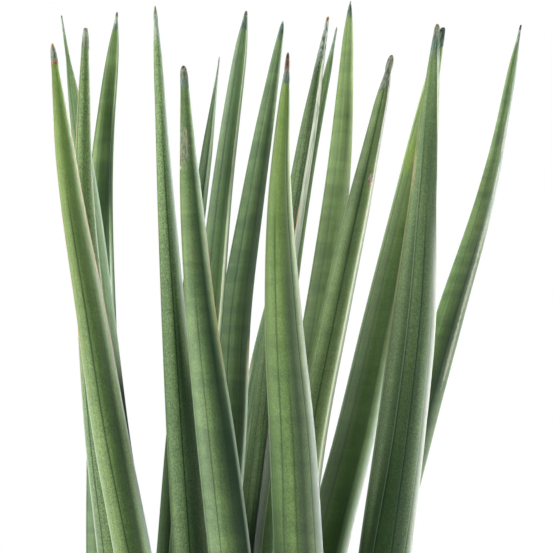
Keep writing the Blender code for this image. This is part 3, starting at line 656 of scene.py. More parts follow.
# what a leaf has unless its own looks say otherwise
plainLooks = {
    "tone": 0,  # up to 1 lighter and yellower, down to -1 bluer
    "bands": 0.3,  # soft cross bands
    "grain": (0.25, 0.25),  # how mottled the tip is, and the rest
    "open": (0.2, 60, 0.12),  # painted backlight on the channel's veined skin: how pale at the tip, how far down, and how pale below that
    "gloss": 0.0, "sun": 0,  # a yellow tip
    "haze": 0, "night": 0.4,  # a paler leaf, and how blue its painted shaded side is
    "paintedSheenRight": 0.1, "paintedSheenLeft": 0,  # painted grey sheen right and left
    "shadedGreen": 0.5, "shadedGreenFrom": -118,  # painted shade, a deeper green across the front, and the angle where that starts
    # angles where the painted light and shade of the left, the front, the dark part and the rim are reached,
    # also at the tip
    "turns": (-134, -99, -67, -32), "turnsTop": None,
    "border": 1, "outer": (1, 1),  # painted shade of the outermost left, and painted light of the outermost right at the foot and the tip
    # colour of the painted sheen and rim light
    "rimTone": "bloom",
    "white": None,  # heights where a painted white rim light is full and where it is gone
    "edge": None,  # line on the left, painted lit rim low down and tan higher up: strength, width in degrees and where it ends at the top
    "edgeRight": None,  # painted pale lit rim on the right: strength, lowest and highest height, width in degrees
    "seam": (0, 0), "dryEdge": 1,  # edges of the channel: groove and raised lip with its painted highlight, and how brown they are
    # a sharp fold on the left with painted shade in it
    "creased": False,
}
leafLooks = {
    "leaf_01": {"tone": 0.6, "grain": (0.25, 0.5), "gloss": 0.15, "sun": 0.2, "night": 0.2, "paintedSheenRight": 0.22,
                "paintedSheenLeft": 0.05, "shadedGreen": 0.6, "turns": (-126, -94, -57, -38), "edge": (0.7, 22),
                "edgeRight": (0.9, 410, 560, 27), "dryEdge": 0.3},
    "leaf_02": {"tone": -0.2, "bands": 0.2, "open": (0.3, 80, 0.12), "haze": 0.08, "paintedSheenRight": 0.4,
                "shadedGreen": 0.2},
    "leaf_03": {"tone": 0.1, "grain": (0.6, 0.75), "gloss": 0.1, "haze": 0.04, "night": 0.3, "paintedSheenLeft": 0.08,
                "shadedGreen": 0.4, "edge": (0.7, 24), "dryEdge": 0.3},
    "leaf_04": {"bands": 0.9, "grain": (0.1, 0.12), "open": (0.1, 80, 0.0), "sun": 0.12, "haze": 0.08,
                "night": 0.8, "paintedSheenRight": 0.2, "paintedSheenLeft": 0.12, "shadedGreen": 0.6, "border": 0.7, "dryEdge": 0.2},
    "leaf_05": {"tone": -0.25, "grain": (0.8, 0.65), "haze": 0.08, "night": 0.35, "paintedSheenRight": 0.2,
                "turns": (-134, -97, -60, -30), "turnsTop": (-134, -104, -80, -48), "edge": (0.5, 20)},
    "leaf_06": {"tone": -0.1, "bands": 0.7, "grain": (0.25, 0.35), "haze": 0.04, "night": 1.0, "paintedSheenLeft": 0.15,
                "shadedGreen": 0.3, "turns": (-134, -99, -47, -20), "turnsTop": (-134, -99, -70, -28),
                "edge": (0.4, 20), "edgeRight": (0.7, 370, 505, 24)},
    "leaf_07": {"tone": -0.1, "haze": 0.16, "paintedSheenRight": 0.3, "shadedGreen": 0.0, "dryEdge": 0.0},
    "leaf_08": {"bands": 0.4, "grain": (0.2, 0.2), "open": (0.2, 150, 0.0), "haze": 0.16, "paintedSheenRight": 0.2,
                "shadedGreen": 0.75, "rimTone": "cream", "dryEdge": 0.3},
    "leaf_09": {"tone": -0.15, "bands": 0.9, "grain": (0.12, 0.15), "open": (0.3, 90, 0.12), "haze": 0.1,
                "paintedSheenRight": 0.25, "paintedSheenLeft": 0.06, "shadedGreen": 0.3, "edgeRight": (1.0, 395, 450, 38), "dryEdge": 0.2},
    "leaf_10": {"tone": -0.5, "grain": (0.3, 0.3), "haze": 0.14, "night": 1.0, "shadedGreen": 0.0,
                "edge": (0.8, 46, 456)},
    "leaf_11": {"tone": 0.35, "bands": 0.6, "grain": (0.2, 0.4), "gloss": 0.3, "sun": 0.26, "night": 0.9,
                "paintedSheenRight": 0.25, "shadedGreenFrom": -185, "turns": (-134, -99, -67, -36), "border": 0.85,
                "edge": (0.15, 20)},
    "leaf_12": {"tone": -0.35, "grain": (0.5, 0.4), "open": (0.9, 150, 0.0), "gloss": 0.1, "haze": 0.05,
                "night": 1.0, "shadedGreen": 0.1, "dryEdge": 0.5},
    "leaf_13": {"tone": -0.4, "bands": 0.2, "grain": (0.2, 0.2), "haze": 0.05, "shadedGreen": 0.1},
    "leaf_14": {"tone": 0.8, "bands": 1.0, "grain": (0.1, 0.12), "open": (0.2, 120, 0.12), "sun": 0.18,
                "haze": 0.1, "paintedSheenRight": 0.3, "paintedSheenLeft": 0.1, "shadedGreen": 0.15, "rimTone": "cream"},
    "leaf_15": {"tone": 0.1, "bands": 0.5, "grain": (0.18, 0.35), "open": (0.4, 150, 0.25), "gloss": 0.3,
                "night": 0.9, "paintedSheenRight": 0.2, "shadedGreen": 0.2, "turns": (-134, -99, -73, -48), "rimTone": "cream",
                "seam": (0.3, 0.2)},
    "leaf_16": {"tone": 0.2, "bands": 0.5, "grain": (0.25, 0.2), "gloss": 0.1, "sun": 0.2, "haze": 0.05,
                "night": 0.0, "paintedSheenLeft": 0.25, "shadedGreen": 0.45, "turns": (-134, -99, -56, -34), "border": 1.5,
                "white": (400, 470), "edge": (0.5, 18, 450)},
    "leaf_17": {"tone": -0.2, "grain": (0.3, 0.6), "open": (0.8, 90, 0.1), "haze": 0.06, "night": 1.0,
                "paintedSheenRight": 0.2, "paintedSheenLeft": 0.12, "shadedGreen": 0.25, "turns": (-134, -99, -66, -50),
                "turnsTop": (-134, -99, -80, -70), "white": (490, 520), "edge": (0.5, 20),
                "seam": (0.05, 0.5), "dryEdge": 0.15, "creased": True},
    "leaf_18": {"tone": 0.2, "bands": 0.9, "grain": (0.15, 0.2), "haze": 0.07, "night": 0.8, "paintedSheenRight": 0.35,
                "shadedGreen": 0.15, "turns": (-122, -99, -72, -52), "border": 0.9, "outer": (1.5, 0.55),
                "dryEdge": 0.1},
}

# dried tips: how uneven the ends are, then the zones from below, each with its distance from the tip in mm,
# the softness of its end and its tone
leafTips = {
    "leaf_01": (1.5, (9.2, 0.5, "rust"), (8.3, 0.4, "ash"), (1.5, 0.8, "rust")),
    "leaf_02": (2, (9, 8, "mist"), (1.5, 1, "ash")),
    "leaf_03": (4, (9, 5, "ash"), (5, 3, "mist"), (0.8, 0.5, "ash")),
    "leaf_04": (3, (8, 3, "slate"), (6, 3, "mist"), (2, 1.5, "slate")),
    "leaf_05": (5, (15, 6, "mist"), (4, 2, "ash")),
    "leaf_06": (3, (9.5, 3, "slate"), (6, 3, "ash"), (0.5, 0.5, "umber")),
    "leaf_07": (1, (14, 12, "mist")),
    "leaf_08": (4, (8.5, 1.5, "slate"), (3, 2, "ash"), (1, 0.6, "teal")),
    "leaf_09": (1.5, (8, 7, "slate"), (1, 0.6, "mist")),
    "leaf_10": (2, (4, 2, "ash")),
    "leaf_11": (1.5, (13.5, 1.6, "slate"), (8.6, 1, "ash"), (7.8, 1, "umber")),
    "leaf_12": (8, (20, 12, "chaff"), (0.5, 0.4, "rust")),
    "leaf_13": (1, (12, 10, "mist")),
    "leaf_14": (2, (7.5, 4, "slate"), (1.5, 1, "mist")),
    "leaf_15": (4, (16, 1.5, "ash"), (0.4, 0.4, "rust")),
    "leaf_16": (2, (9.5, 1, "teal")),
    "leaf_17": (3, (13, 8, "slate"), (6, 3, "ash"), (0.6, 0.4, "rust")),
    "leaf_18": (1, (10, 8, "mist"), (2.5, 1, "teal")),
}

# scars and spots: angle and height, half width and half length in mm, tone and strength
leafMarks = {
    "leaf_02": [(-60, 592.4, 0.7, 0.7, "rust", 0.5)],
    "leaf_05": [(-60, 609, 0.6, 0.7, "teal", 0.8), (-52, 607.5, 0.5, 0.8, "rust", 0.6)],
    "leaf_06": [(-128, 549, 3.2, 10, "ash", 0.7), (-160, 540, 0.9, 0.9, "cream", 0.9),
                (-150, 545, 0.7, 4, "rust", 0.5), (-96, 552, 0.5, 6, "tan", 0.7)],
    "leaf_12": [(-70, 517, 0.5, 9, "rust", 0.7)],
    "leaf_14": [(-60, 470, 0.5, 0.7, "cream", 0.8)],
    "leaf_15": [(-45, 574.5, 0.6, 0.9, "rust", 0.8), (-75, 577, 0.4, 0.5, "rust", 0.7),
                (-60, 586, 0.8, 2.4, "rust", 0.8), (-62, 535.5, 1.2, 3.6, "scab", 0.95)],
    "leaf_16": [(-130, 548, 3, 9, "lime", 0.55)],
    "leaf_17": [(-82, 594, 0.5, 7, "rust", 0.7), (-160, 538, 1.5, 10, "tan", 0.6)],
    # leaf 18: a long pale line down its right side, given as a row of long marks
    "leaf_18": [(-50, 558, 0.6, 15, "ivory", 0.9), (-48, 535, 0.65, 15, "ivory", 0.9),
                (-45, 511, 1.0, 16, "ivory", 0.6), (-43, 486, 1.1, 18, "ivory", 0.5),
                (-43, 458, 1.1, 20, "ivory", 0.45),
                (-106, 516.5, 0.5, 0.8, "rust", 0.7)],
}


# clouds of the skin: their scale per mm, stretch along the leaf, detail and roughness
skinClouds = {"streaks": (0.4, 0.03, 3, 0.6), "fine": (1.5, 0.3, 3, 0.6), "grain": (1.8, 0.6, 3, 0.75),
              "veins": (1.6, 0.015, 2, 0.6), "flecks": (1.2, 0.3, 3, 0.7)}
skinForm = {
    "bandWide": 0.25, "bandScale": 0.14, "bandDark": 0.62, "bandShare": 0.55,
    "brushAngle": 0.4,  # the mottling leans
    "mottleDrops": (30, 190), "sunDrops": (170, 20), "marginDrops": (120, 30), "footHeights": (215, 148),
    "edgeHeights": (430, 480),
    "brightest": 2.4, "marginLow": 0.08, "marginTop": 0.7,
    "rough": (0.36, 0.52), "dryRough": 0.85, "relief": 0.8, "reliefDepth": 0.4,
    "ior": 1.5, "sheen": 0.2, "sheenRough": 0.35,
}


def skinBase(tree, looks, place, drop):  # plain skin with its streaks, bands and mottling
    def skinCloud(kind, vector=place):
        scale, along, detail, rough = skinClouds[kind]
        return cloud(tree, stretch(tree, vector, (1, 1, along)), scale, detail, rough)

    form, tone = skinForm, looks["tone"]
    first, second = skinTones["light"], skinTones["dark"]
    if tone < 0:
        second = mixPaint(second, skinTones["blue"], -tone)
        first = dimPaint(first, 1 + 0.25 * tone)
    else:
        second = mixPaint(second, first, 0.4 * tone)
    streaks, fine = skinCloud("streaks"), skinCloud("fine")
    wide = form["bandWide"]
    bands = cloud(tree, stretch(tree, place, (wide, wide, 1)), form["bandScale"], 3, 0.55)
    lean = {"Vector": place, "Angle": form["brushAngle"]}
    grain = skinCloud("grain", put(tree, "VectorRotate", lean, rotation_type="Y_AXIS").outputs[0])
    colour = blend(tree, fade(tree, streaks, 0.25, 0.75, 0.25, 0.75), first, second)
    bandShare = times(tree, fade(tree, bands, 0.42, 0.62), form["bandShare"] * looks["bands"])
    colour = blend(tree, bandShare, colour, dimPaint(second, form["bandDark"]))
    colour = blend(tree, fade(tree, fine, 0.4, 0.65, 0.0, 0.1), colour, skinTones["groove"])
    atTip, below = looks["grain"]
    mottle = fade(tree, drop, *form["mottleDrops"], atTip, below)
    specks = put(tree, "MapRange", {0: grain, 1: 0.3, 2: 0.7, 3: -1.0, 4: 1.0}).outputs[0]
    colour = blend(tree, fade(tree, grain, 0.52, 0.68, 0.0, 0.3 * below), colour, skinTones["sun"])
    colour = brighten(tree, colour, plus(tree, times(tree, specks, mottle), 1.0))
    if looks["haze"]:
        colour = blend(tree, looks["haze"], colour, skinTones["haze"])
    if looks["sun"]:
        yellowing = fade(tree, drop, *form["sunDrops"], 0.0, looks["sun"])
        colour = blend(tree, yellowing, colour, skinTones["sun"])
    veins = fade(tree, skinCloud("veins"), 0.46, 0.58)
    stain = fade(tree, skinCloud("flecks"), 0.42, 0.6)
    return colour, grain, fine, veins, stain


def leafSkin(name, looks, line, seed):
    material, tree, shader = newMaterial(name + "_skin")
    form = skinForm

    def attribute(key, output="Fac"):
        return put(tree, "Attribute", attribute_name=key).outputs[output]

    straight, drop = attribute("straight", "Vector"), attribute("drop")
    start = {0: straight, 1: (seed * 31.0, seed * 17.0, 0.0)}
    place = put(tree, "VectorMath", start, operation="ADD").outputs[0]
    height = put(tree, "SeparateXYZ", {0: straight}).outputs[2]
    colour, grain, fine, veins, stain = skinBase(tree, looks, place, drop)

    shade, groove = attribute("shade"), attribute("groove")
    # painted shade: where the painted light is low the skin turns a deep green, bluer on the dark side
    deep = blend(tree, attribute("night"), skinTones["deep"], skinTones["night"])
    colour = blend(tree, fade(tree, shade, 1.0, 0.15, 0.0, 0.9), colour, deep)
    # painted shade: a deeper green across the front
    colour = blend(tree, attribute("shadedGreen"), colour, skinTones["shadedGreen"], "MULTIPLY")
    # painted sheen and rim light, grey or cream
    colour = blend(tree, attribute("bloom"), colour, skinTones[looks["rimTone"]])
    # groove lines: their own dark stripe with painted shade in the hollow; painted highlights on the raised
    # lips
    colour = blend(tree, times(tree, groove, 0.9, True), colour, skinTones["groove"])
    colour = blend(tree, times(tree, groove, -0.8, True), colour, skinTones["lip"])
    # painted light and shade scale the colour, up to the brightest
    colour = brighten(tree, colour, calc(tree, "MINIMUM", shade, form["brightest"]))
    # painted white rim light
    colour = blend(tree, attribute("white"), colour, skinTones["white"])
    # edge lines: pale low down as painted lit rims, tan higher up
    browned = fade(tree, height, *form["edgeHeights"])
    lining = blend(tree, browned, skinTones["edgeLow"], skinTones["edgeTop"])
    colour = blend(tree, attribute("edge"), colour, lining)

    # the channel's veined skin, made pale by painted backlight reflected off it
    openness, reach, below = looks["open"]
    channelShare = times(tree, attribute("channel"), fade(tree, drop, reach, reach * 0.4, below, openness))
    colour = blend(tree, channelShare, colour, blend(tree, veins, skinTones["channel"], skinTones["vein"]))
    dryEdge = [form[key] * looks["dryEdge"] for key in ("marginLow", "marginTop")]
    marginShare = times(tree, attribute("margin"), fade(tree, drop, *form["marginDrops"], *dryEdge))
    colour = blend(tree, marginShare, colour, skinTones["margin"])
    colour = blend(tree, fade(tree, height, *form["footHeights"], 0.0, 0.8), colour, skinTones["pale"])

    uneven = cloud(tree, place, 0.7, 3)

    def roughEnd(value, amount):
        return plus(tree, value, times(tree, calc(tree, "SUBTRACT", uneven, 0.5), amount))

    def dried(share, kind):
        light, dark = tipTones[kind]
        return blend(tree, share, colour, blend(tree, stain, light, dark))

    for angle, high, halfWidth, halfLength, kind, strength in leafMarks.get(name, ()):
        a, reach = math.radians(angle), line.width(high) / 2
        centre = {0: straight, 1: (math.cos(a) * reach, math.sin(a) * reach, high)}
        away = put(tree, "VectorMath", centre, operation="SUBTRACT").outputs[0]
        away = lengthOf(tree, stretch(tree, away, (1 / halfWidth, 1 / halfWidth, 1 / halfLength)))
        colour = dried(fade(tree, roughEnd(away, 1.2), 1.1, 0.7, 0.0, strength), kind)

    ragged, *zones = leafTips[name]
    edge = roughEnd(drop, 2.0 * ragged)
    for reach, soft, kind in zones:
        colour = dried(fade(tree, edge, reach + soft / 2, reach - soft / 2), kind)
    dryReach = zones[0][0]
    dry = fade(tree, edge, dryReach + 1, dryReach - 2)

    rough = blendValue(tree, dry, fade(tree, grain, 0.3, 0.7, *form["rough"]), form["dryRough"])
    relief = plus(tree, times(tree, grain, 0.5), times(tree, fine, 0.5))
    finish(tree, shader, colour, rough, relief, form["relief"], form["reliefDepth"])
    shader.inputs["IOR"].default_value = form["ior"]
    shader.inputs["Specular IOR Level"].default_value = looks["gloss"]
    shader.inputs["Sheen Weight"].default_value = form["sheen"] * looks["gloss"]
    shader.inputs["Sheen Roughness"].default_value = form["sheenRough"]
    return material


for index, (name, plan) in enumerate(leafPlan.items()):
    looks = {**plainLooks, **leafLooks[name]}
    skin = leafSkin(name, looks, LeafLine(plan), index + 1)
    leaf = addObject("fine_" + name, buildLeaf(name, plan, looks, index + 1), [skin])
    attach(leaf, "root")
    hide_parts(name)
print("leaves done")


# the pot: a tapered wall with a rim band, turned from its profile
potPlan = {
    "height": 158, "baseRadius": 66, "shoulderRadius": 89, "rimRadius": 95, "rimHeight": 30,
    "wall": 6, "floor": 7, "edge": 1.6, "sides": 180, "rowStep": 2.4,
    "hub": 2,  # radius of the flat middle faces
    "drainRadius": 6, "drainCircle": 36, "drains": 3,
    "turning": 0.16,  # unevenness left by the maker's hands
    "dampHeights": (34, 4), "lowCrust": (60, 10), "highCrust": (122, 150),  # where water left its marks
    "relief": 0.5, "reliefDepth": 0.4,
}
clayTones = {"clay": paint(186, 108, 72), "deep": paint(150, 78, 50), "pale": paint(206, 142, 104),
             "bloom": paint(222, 206, 186), "grit": paint(92, 52, 38)}


def innerRadius(height):
    base, shoulder = potPlan["baseRadius"], potPlan["shoulderRadius"]
    return base + (shoulder - base) * height / potPlan["height"] - potPlan["wall"]


def potProfile(plan):  # radius and height, from the middle of the underside round to that of the inner floor
    edge, wall, shoulder = plan["edge"], plan["wall"], plan["height"] - plan["rimHeight"]
    base, rim, top, hub = plan["baseRadius"], plan["rimRadius"], plan["height"], plan["hub"]

    def corner(radius, height, start):  # quarter round about its own centre
        turns = [math.radians(start + 30 * k) for k in range(4)]
        return [(radius + edge * math.cos(t), height + edge * math.sin(t)) for t in turns]

    def straight(a, b):
        steps = max(int(math.dist(a, b) / plan["rowStep"]), 1)
        wide, high = b[0] - a[0], b[1] - a[1]
        return [(a[0] + wide * k / steps, a[1] + high * k / steps) for k in range(1, steps)]

    runs = [[(hub, 0)], corner(base - edge, edge, -90), [(innerRadius(shoulder) + wall, shoulder)],
            corner(rim - edge, shoulder + edge, -90), corner(rim - edge, top - edge, 0),
            corner(innerRadius(top) + edge, top - edge, 90),
            [(innerRadius(plan["floor"]), plan["floor"])], [(hub, plan["floor"])]]
    profile = list(runs[0])
    for run in runs[1:]:
        profile += straight(profile[-1], run[0]) + run
    return profile


def turnOnWheel(profile, sides, uneven):
    mesh = bmesh.new()
    rows = []
    for radius, height in profile:
        row = []
        for k in range(sides):
            a = 2 * math.pi * k / sides
            ripple = noise.noise(Vector((math.cos(a) * 0.5, math.sin(a) * 0.5, height / 5)))
            out = radius + uneven * ripple if radius > 20 and height > 3 else radius
            row.append(mesh.verts.new((out * math.cos(a) * mm, out * math.sin(a) * mm, height * mm)))
        rows.append(row)
    joinRings(mesh, rows)
    mesh.faces.new(reversed(rows[0]))
    mesh.faces.new(rows[-1])
    bmesh.ops.recalc_face_normals(mesh, faces=mesh.faces)
    return mesh


def cutDrains(pot, plan):
    cutter = bmesh.new()
    radius, deep = plan["drainRadius"] * mm, 3 * plan["floor"] * mm
    for k in range(plan["drains"]):
        a = 2 * math.pi * (k + 0.5) / plan["drains"]
        made = bmesh.ops.create_cone(cutter, cap_ends=True, segments=48, radius1=radius, radius2=radius,
                                     depth=deep)
        spot = Vector((math.cos(a), math.sin(a), 0)) * plan["drainCircle"] * mm
        bmesh.ops.translate(cutter, verts=made["verts"], vec=spot)
    tool = addObject("drain_cutter", cutter, [])
    cut = pot.modifiers.new("drains", "BOOLEAN")
    cut.object, cut.operation, cut.solver = tool, "DIFFERENCE", "EXACT"
    done = bpy.data.meshes.new_from_object(pot.evaluated_get(bpy.context.evaluated_depsgraph_get()))
    pot.modifiers.clear()
    pot.data = done
    bpy.data.objects.remove(tool)


def clayFinish(plan):
    material, tree, shader = newMaterial("fired_clay")
    place = placeInMm(tree)
    height = put(tree, "SeparateXYZ", {0: place}).outputs[2]
    turned = cloud(tree, stretch(tree, place, (0.03, 0.03, 1)), 0.5, 4, 0.6)
    patches, speckle = cloud(tree, place, 0.03, 4, 0.6), cloud(tree, place, 1.1, 3, 0.7)
    colour = blend(tree, fade(tree, patches, 0.35, 0.68), clayTones["clay"], clayTones["deep"])
    colour = blend(tree, fade(tree, turned, 0.4, 0.7, 0.0, 0.45), colour, clayTones["pale"])
    colour = blend(tree, fade(tree, speckle, 0.58, 0.7, 0.0, 0.6), colour, clayTones["grit"])
    wet = fade(tree, cloud(tree, place, 0.06, 4, 0.65), 0.3, 0.6)
    damp = times(tree, fade(tree, height, *plan["dampHeights"]), wet)
    colour = blend(tree, times(tree, damp, 0.45), colour, clayTones["deep"])
    crust = fade(tree, cloud(tree, stretch(tree, place, (1, 1, 1.6)), 0.05, 6, 0.7), 0.52, 0.66)
    where = plus(tree, fade(tree, height, *plan["lowCrust"]), fade(tree, height, *plan["highCrust"]))
    crust = times(tree, crust, plus(tree, times(tree, where, 0.55), 0.12), True)
    colour = blend(tree, crust, colour, clayTones["bloom"])
    relief = plus(tree, times(tree, turned, 1.2), times(tree, speckle, 0.5))
    relief = plus(tree, relief, times(tree, crust, 0.5))
    rough = fade(tree, patches, 0.3, 0.7, 0.72, 0.92)
    finish(tree, shader, colour, rough, relief, plan["relief"], plan["reliefDepth"])
    return material


clayMesh = turnOnWheel(potProfile(potPlan), potPlan["sides"], potPlan["turning"])
clayPot = addObject("fine_pot", clayMesh, [clayFinish(potPlan)])
cutDrains(clayPot, potPlan)
clayPot.data.shade_smooth()
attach(clayPot, "root")
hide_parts("pot")
print("pot done")


# the soil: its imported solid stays, under a crumbly top of peat, bark, perlite and grit
soilPlan = {
    "edgeHeight": 141, "slopeHeight": 143, "crownHeight": 145, "slopeShare": 0.86, "crownShare": 0.45,
    "sides": 264, "rowStep": 1.5, "lumps": 1.5,
    "flats": {"bark": (0.45, 0.7, 0.35), "other": (0.75, 1, 0.8)},  # least and most width, and height
    "cover": 0.9,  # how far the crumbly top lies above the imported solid
    "tuck": 1.6,  # how far its outer row dips beside the pot
    "potGap": 0.5, "underLeaf": 0.8,  # from the pot, and in under a leaf's skin
    "pieceGap": 0.6, "leafGap": 0.9,  # loose pieces: from the pot, and from a leaf, as a share of their size
    "sizeCurve": 2.2, "knobs": 0.35, "sit": 0.35,  # how many are small, how knobbly, how high they sit
    "pieces": {"peat": (900, 0.7, 1.9), "bark": (170, 1.2, 3.2),  # how many, smallest and largest radius
               "perlite": (210, 0.8, 2.1), "grit": (260, 0.7, 2.0)},
    "seed": 12, "relief": 0.7, "reliefDepth": 0.6,
}
soilTones = {
    "peat": (paint(58, 42, 32), paint(30, 22, 18)), "bark": (paint(112, 72, 46), paint(58, 36, 26)),
    "perlite": (paint(226, 222, 212), paint(176, 168, 154)),
    "grit": (paint(146, 134, 118), paint(92, 84, 76)),
}


def soilHeight(radius):
    plan, edge = soilPlan, innerRadius(soilPlan["edgeHeight"])
    places = [0, edge * plan["crownShare"], edge * plan["slopeShare"], edge]
    levels = [plan["crownHeight"], plan["crownHeight"], plan["slopeHeight"], plan["edgeHeight"]]
    i, part = findStep(places, radius)
    return between(levels[i], levels[i + 1], part)


leafFeet = []  # where each leaf leaves the soil: middle, half width and half depth
for plan in leafPlan.values():
    line = LeafLine(plan)
    level = soilPlan["crownHeight"]
    leafFeet.append((*line.centre(level), line.width(level) / 2, line.width(level) / 2 * plan["round"]))


def insideLeaf(x, y, margin):
    return any(((x - fx) / (a + margin)) ** 2 + ((y - fy) / (b + margin)) ** 2 < 1
               for fx, fy, a, b in leafFeet)


def soilFinish(kind):
    material, tree, shader = newMaterial("soil_" + kind)
    place = placeInMm(tree)
    bits, patches = cloud(tree, place, 1.3, 4, 0.7), cloud(tree, place, 0.15, 3, 0.6)
    light, dark = soilTones[kind]
    colour = blend(tree, fade(tree, bits, 0.38, 0.62), dark, light)
    colour = blend(tree, fade(tree, patches, 0.4, 0.7, 0.0, 0.4), colour, dark)
    rough = fade(tree, bits, 0.3, 0.7, 0.8, 0.98)
    finish(tree, shader, colour, rough, bits, soilPlan["relief"], soilPlan["reliefDepth"])
    return material


def soilSurface(plan):
    mesh = bmesh.new()
    edge = innerRadius(plan["edgeHeight"]) - plan["potGap"]
    sides, count = plan["sides"], int(edge / plan["rowStep"])
    rows = []
    for i in range(1, count + 1):
        radius = edge * i / count
        row = []
        for k in range(sides):
            a = 2 * math.pi * k / sides
            x, y = radius * math.cos(a), radius * math.sin(a)
            lump = noise.fractal(Vector((x, y, 3)) / 6, 0.8, 2.1, 4)
            lump += 0.6 * noise.noise(Vector((x, y, 9)) / 1.7)
            high = soilHeight(radius) + plan["cover"] + plan["lumps"] * 0.5 * lump
            high -= plan["tuck"] if i == count else 0
            row.append(mesh.verts.new((x * mm, y * mm, high * mm)))
        rows.append(row)
    for low, high in zip(rows, rows[1:]):
        for k in range(sides):
            j = (k + 1) % sides
            ring = (low[k], high[k], high[j], low[j])
            if not all(insideLeaf(v.co.x / mm, v.co.y / mm, -plan["underLeaf"]) for v in ring):
                mesh.faces.new(ring)
    mesh.faces.new(rows[0])
    bmesh.ops.delete(mesh, geom=[v for v in mesh.verts if not v.link_faces], context="VERTS")
    return mesh


def soilPieces(plan):  # loose pieces pressed into the surface, kept clear of the leaves
    draw = random.Random(plan["seed"])
    ball = bmesh.new()
    bmesh.ops.create_icosphere(ball, subdivisions=1, radius=1.0)
    corners = [v.co.copy() for v in ball.verts]
    sides = [[v.index for v in f.verts] for f in ball.faces]
    ball.free()
    mesh = bmesh.new()
    edge = innerRadius(plan["edgeHeight"])
    for slot, (kind, (count, small, large)) in enumerate(plan["pieces"].items()):
        for i in range(count):
            size = small + (large - small) * draw.random() ** plan["sizeCurve"]
            while True:
                reach = (edge - size - plan["pieceGap"]) * math.sqrt(draw.random())
                turn = draw.uniform(0, 2 * math.pi)
                x, y = reach * math.cos(turn), reach * math.sin(turn)
                if not insideLeaf(x, y, size * plan["leafGap"]):
                    break
            flat = plan["flats"]["bark" if kind == "bark" else "other"]
            flat = (1.0, draw.uniform(*flat[:2]), flat[2])
            spin = Vector((draw.uniform(-0.5, 0.5), draw.uniform(-0.5, 0.5), draw.uniform(0, 6.3)))
            middle = Vector((x, y, soilHeight(reach) + plan["cover"] + size * flat[2] * plan["sit"]))
            verts = []
            for corner in corners:
                bulge = 1 + plan["knobs"] * noise.noise(corner * 1.7 + Vector((i, slot * 50, 0)))
                point = Vector(c * f for c, f in zip(corner, flat)) * size * bulge
                point.rotate(Euler(spin))
                verts.append(mesh.verts.new((middle + point) * mm))
            for side in sides:
                mesh.faces.new([verts[k] for k in side]).material_index = slot
    return mesh


peat = soilFinish("peat")
topSoil = addObject("soil_surface", soilSurface(soilPlan), [peat])
looseSoil = [peat] + [soilFinish(kind) for kind in ("bark", "perlite", "grit")]
crumbs = addObject("soil_crumbs", soilPieces(soilPlan), looseSoil)
crumbs.data.shade_flat()
for piece in (topSoil, crumbs):
    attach(piece, "root")
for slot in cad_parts["soil"].material_slots:
    slot.material = peat
print("soil done")


# the runners under the soil: pale orange skin with ring scars
runnerTones = {"skin": paint(206, 150, 96), "scar": paint(128, 80, 46), "pale": paint(232, 200, 150)}


def runnerSkin():
    material, tree, shader = newMaterial("runner_skin")
    place = placeInMm(tree)
    rings = {"Vector": place, "Scale": 0.05, "Distortion": 3.0, "Detail": 2.0}
    scars = put(tree, "TexWave", rings).outputs["Fac"]
    patches = cloud(tree, place, 0.2, 4, 0.6)
    colour = blend(tree, fade(tree, patches, 0.35, 0.65), runnerTones["skin"], runnerTones["pale"])
    colour = blend(tree, fade(tree, scars, 0.86, 0.96), colour, runnerTones["scar"])
    relief = calc(tree, "SUBTRACT", patches, scars)
    finish(tree, shader, colour, fade(tree, patches, 0.3, 0.7, 0.45, 0.7), relief, 0.4, 0.5)
    return material


bark = runnerSkin()
for name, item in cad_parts.items():
    if name.startswith("rhizome"):
        for slot in item.material_slots:
            slot.material = bark
print("runners done")


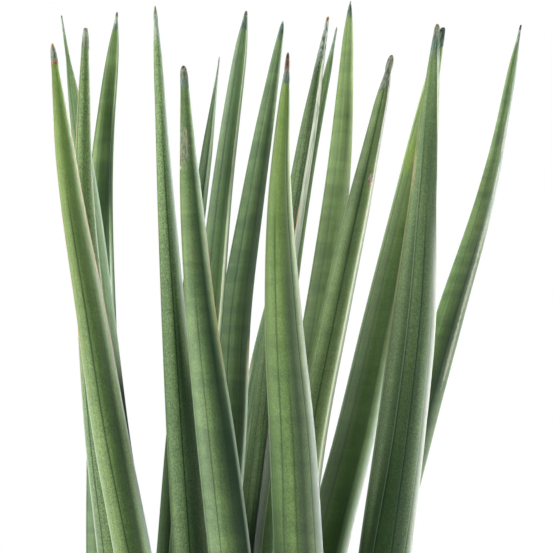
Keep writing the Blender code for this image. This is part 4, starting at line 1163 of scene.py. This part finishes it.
# distances in m
stageSetup = {"floorRadius": 3.0, "floorFade": (0.9, 2.6), "floorShade": (0.86, 0.86, 0.85, 1),
              "backGlow": 1.3, "rightGlow": 7.5, "frontFill": 0.075, "rightFill": 0.06,
              "key": {"power": 54, "size": (1.0, 1.5), "place": (-2.1, -0.3, 1.15), "aim": (0.02, 0, 0.5)},
              "upper": {"power": 0.22, "size": (0.16, 0.16), "place": (0.04, -0.32, 0.8),
                        "aim": (0.02, 0, 0.56)}}


def addFloor(setup):
    mesh = bmesh.new()
    bmesh.ops.create_circle(mesh, cap_ends=True, segments=128, radius=setup["floorRadius"])
    material, tree, shader = newMaterial("floor")
    away = lengthOf(tree, put(tree, "TexCoord").outputs["Object"])
    shader.inputs["Base Color"].default_value = setup["floorShade"]
    shader.inputs["Roughness"].default_value = 0.8
    glow = put(tree, "Emission", {"Color": (1, 1, 1, 1), "Strength": 1.0})
    share = fade(tree, away, *setup["floorFade"])
    join = put(tree, "MixShader", {0: share, 1: shader.outputs[0], 2: glow.outputs[0]})
    tree.links.new(join.outputs[0], tree.nodes["Material Output"].inputs[0])
    floor = addObject("floor", mesh, [material])


def addWorld(setup):
    world = bpy.data.worlds.new("studio")
    scene.world = world
    world.use_nodes = True
    tree = world.node_tree
    back = tree.nodes["Background"]
    parts = put(tree, "SeparateXYZ", {0: put(tree, "TexCoord").outputs["Generated"]}).outputs
    backward = fade(tree, parts[1], -0.05, 0.35)
    fill = fade(tree, parts[0], -0.3, 0.6, setup["frontFill"], setup["rightFill"])
    glow = fade(tree, parts[0], 0.0, 0.5, setup["backGlow"], setup["rightGlow"])
    seen = put(tree, "LightPath").outputs["Is Camera Ray"]
    strength = blendValue(tree, seen, blendValue(tree, backward, fill, glow), 1.0)
    back.inputs["Color"].default_value = (1, 1, 1, 1)
    tree.links.new(strength, back.inputs["Strength"])


def addLamp(name, setup):
    data = bpy.data.lights.new(name, "AREA")
    data.shape = "RECTANGLE"
    data.size, data.size_y = setup["size"]
    data.energy = setup["power"]
    lamp = bpy.data.objects.new(name, data)
    lamp.location = setup["place"]
    aim = Vector(setup["aim"]) - Vector(setup["place"])
    lamp.rotation_euler = aim.to_track_quat("-Z", "Y").to_euler()
    lamp.visible_camera = False
    scene.collection.objects.link(lamp)


addFloor(stageSetup)
addWorld(stageSetup)
addLamp("key", stageSetup["key"])
addLamp("upper", stageSetup["upper"])
scene.view_settings.view_transform = "Standard"
print("studio done")
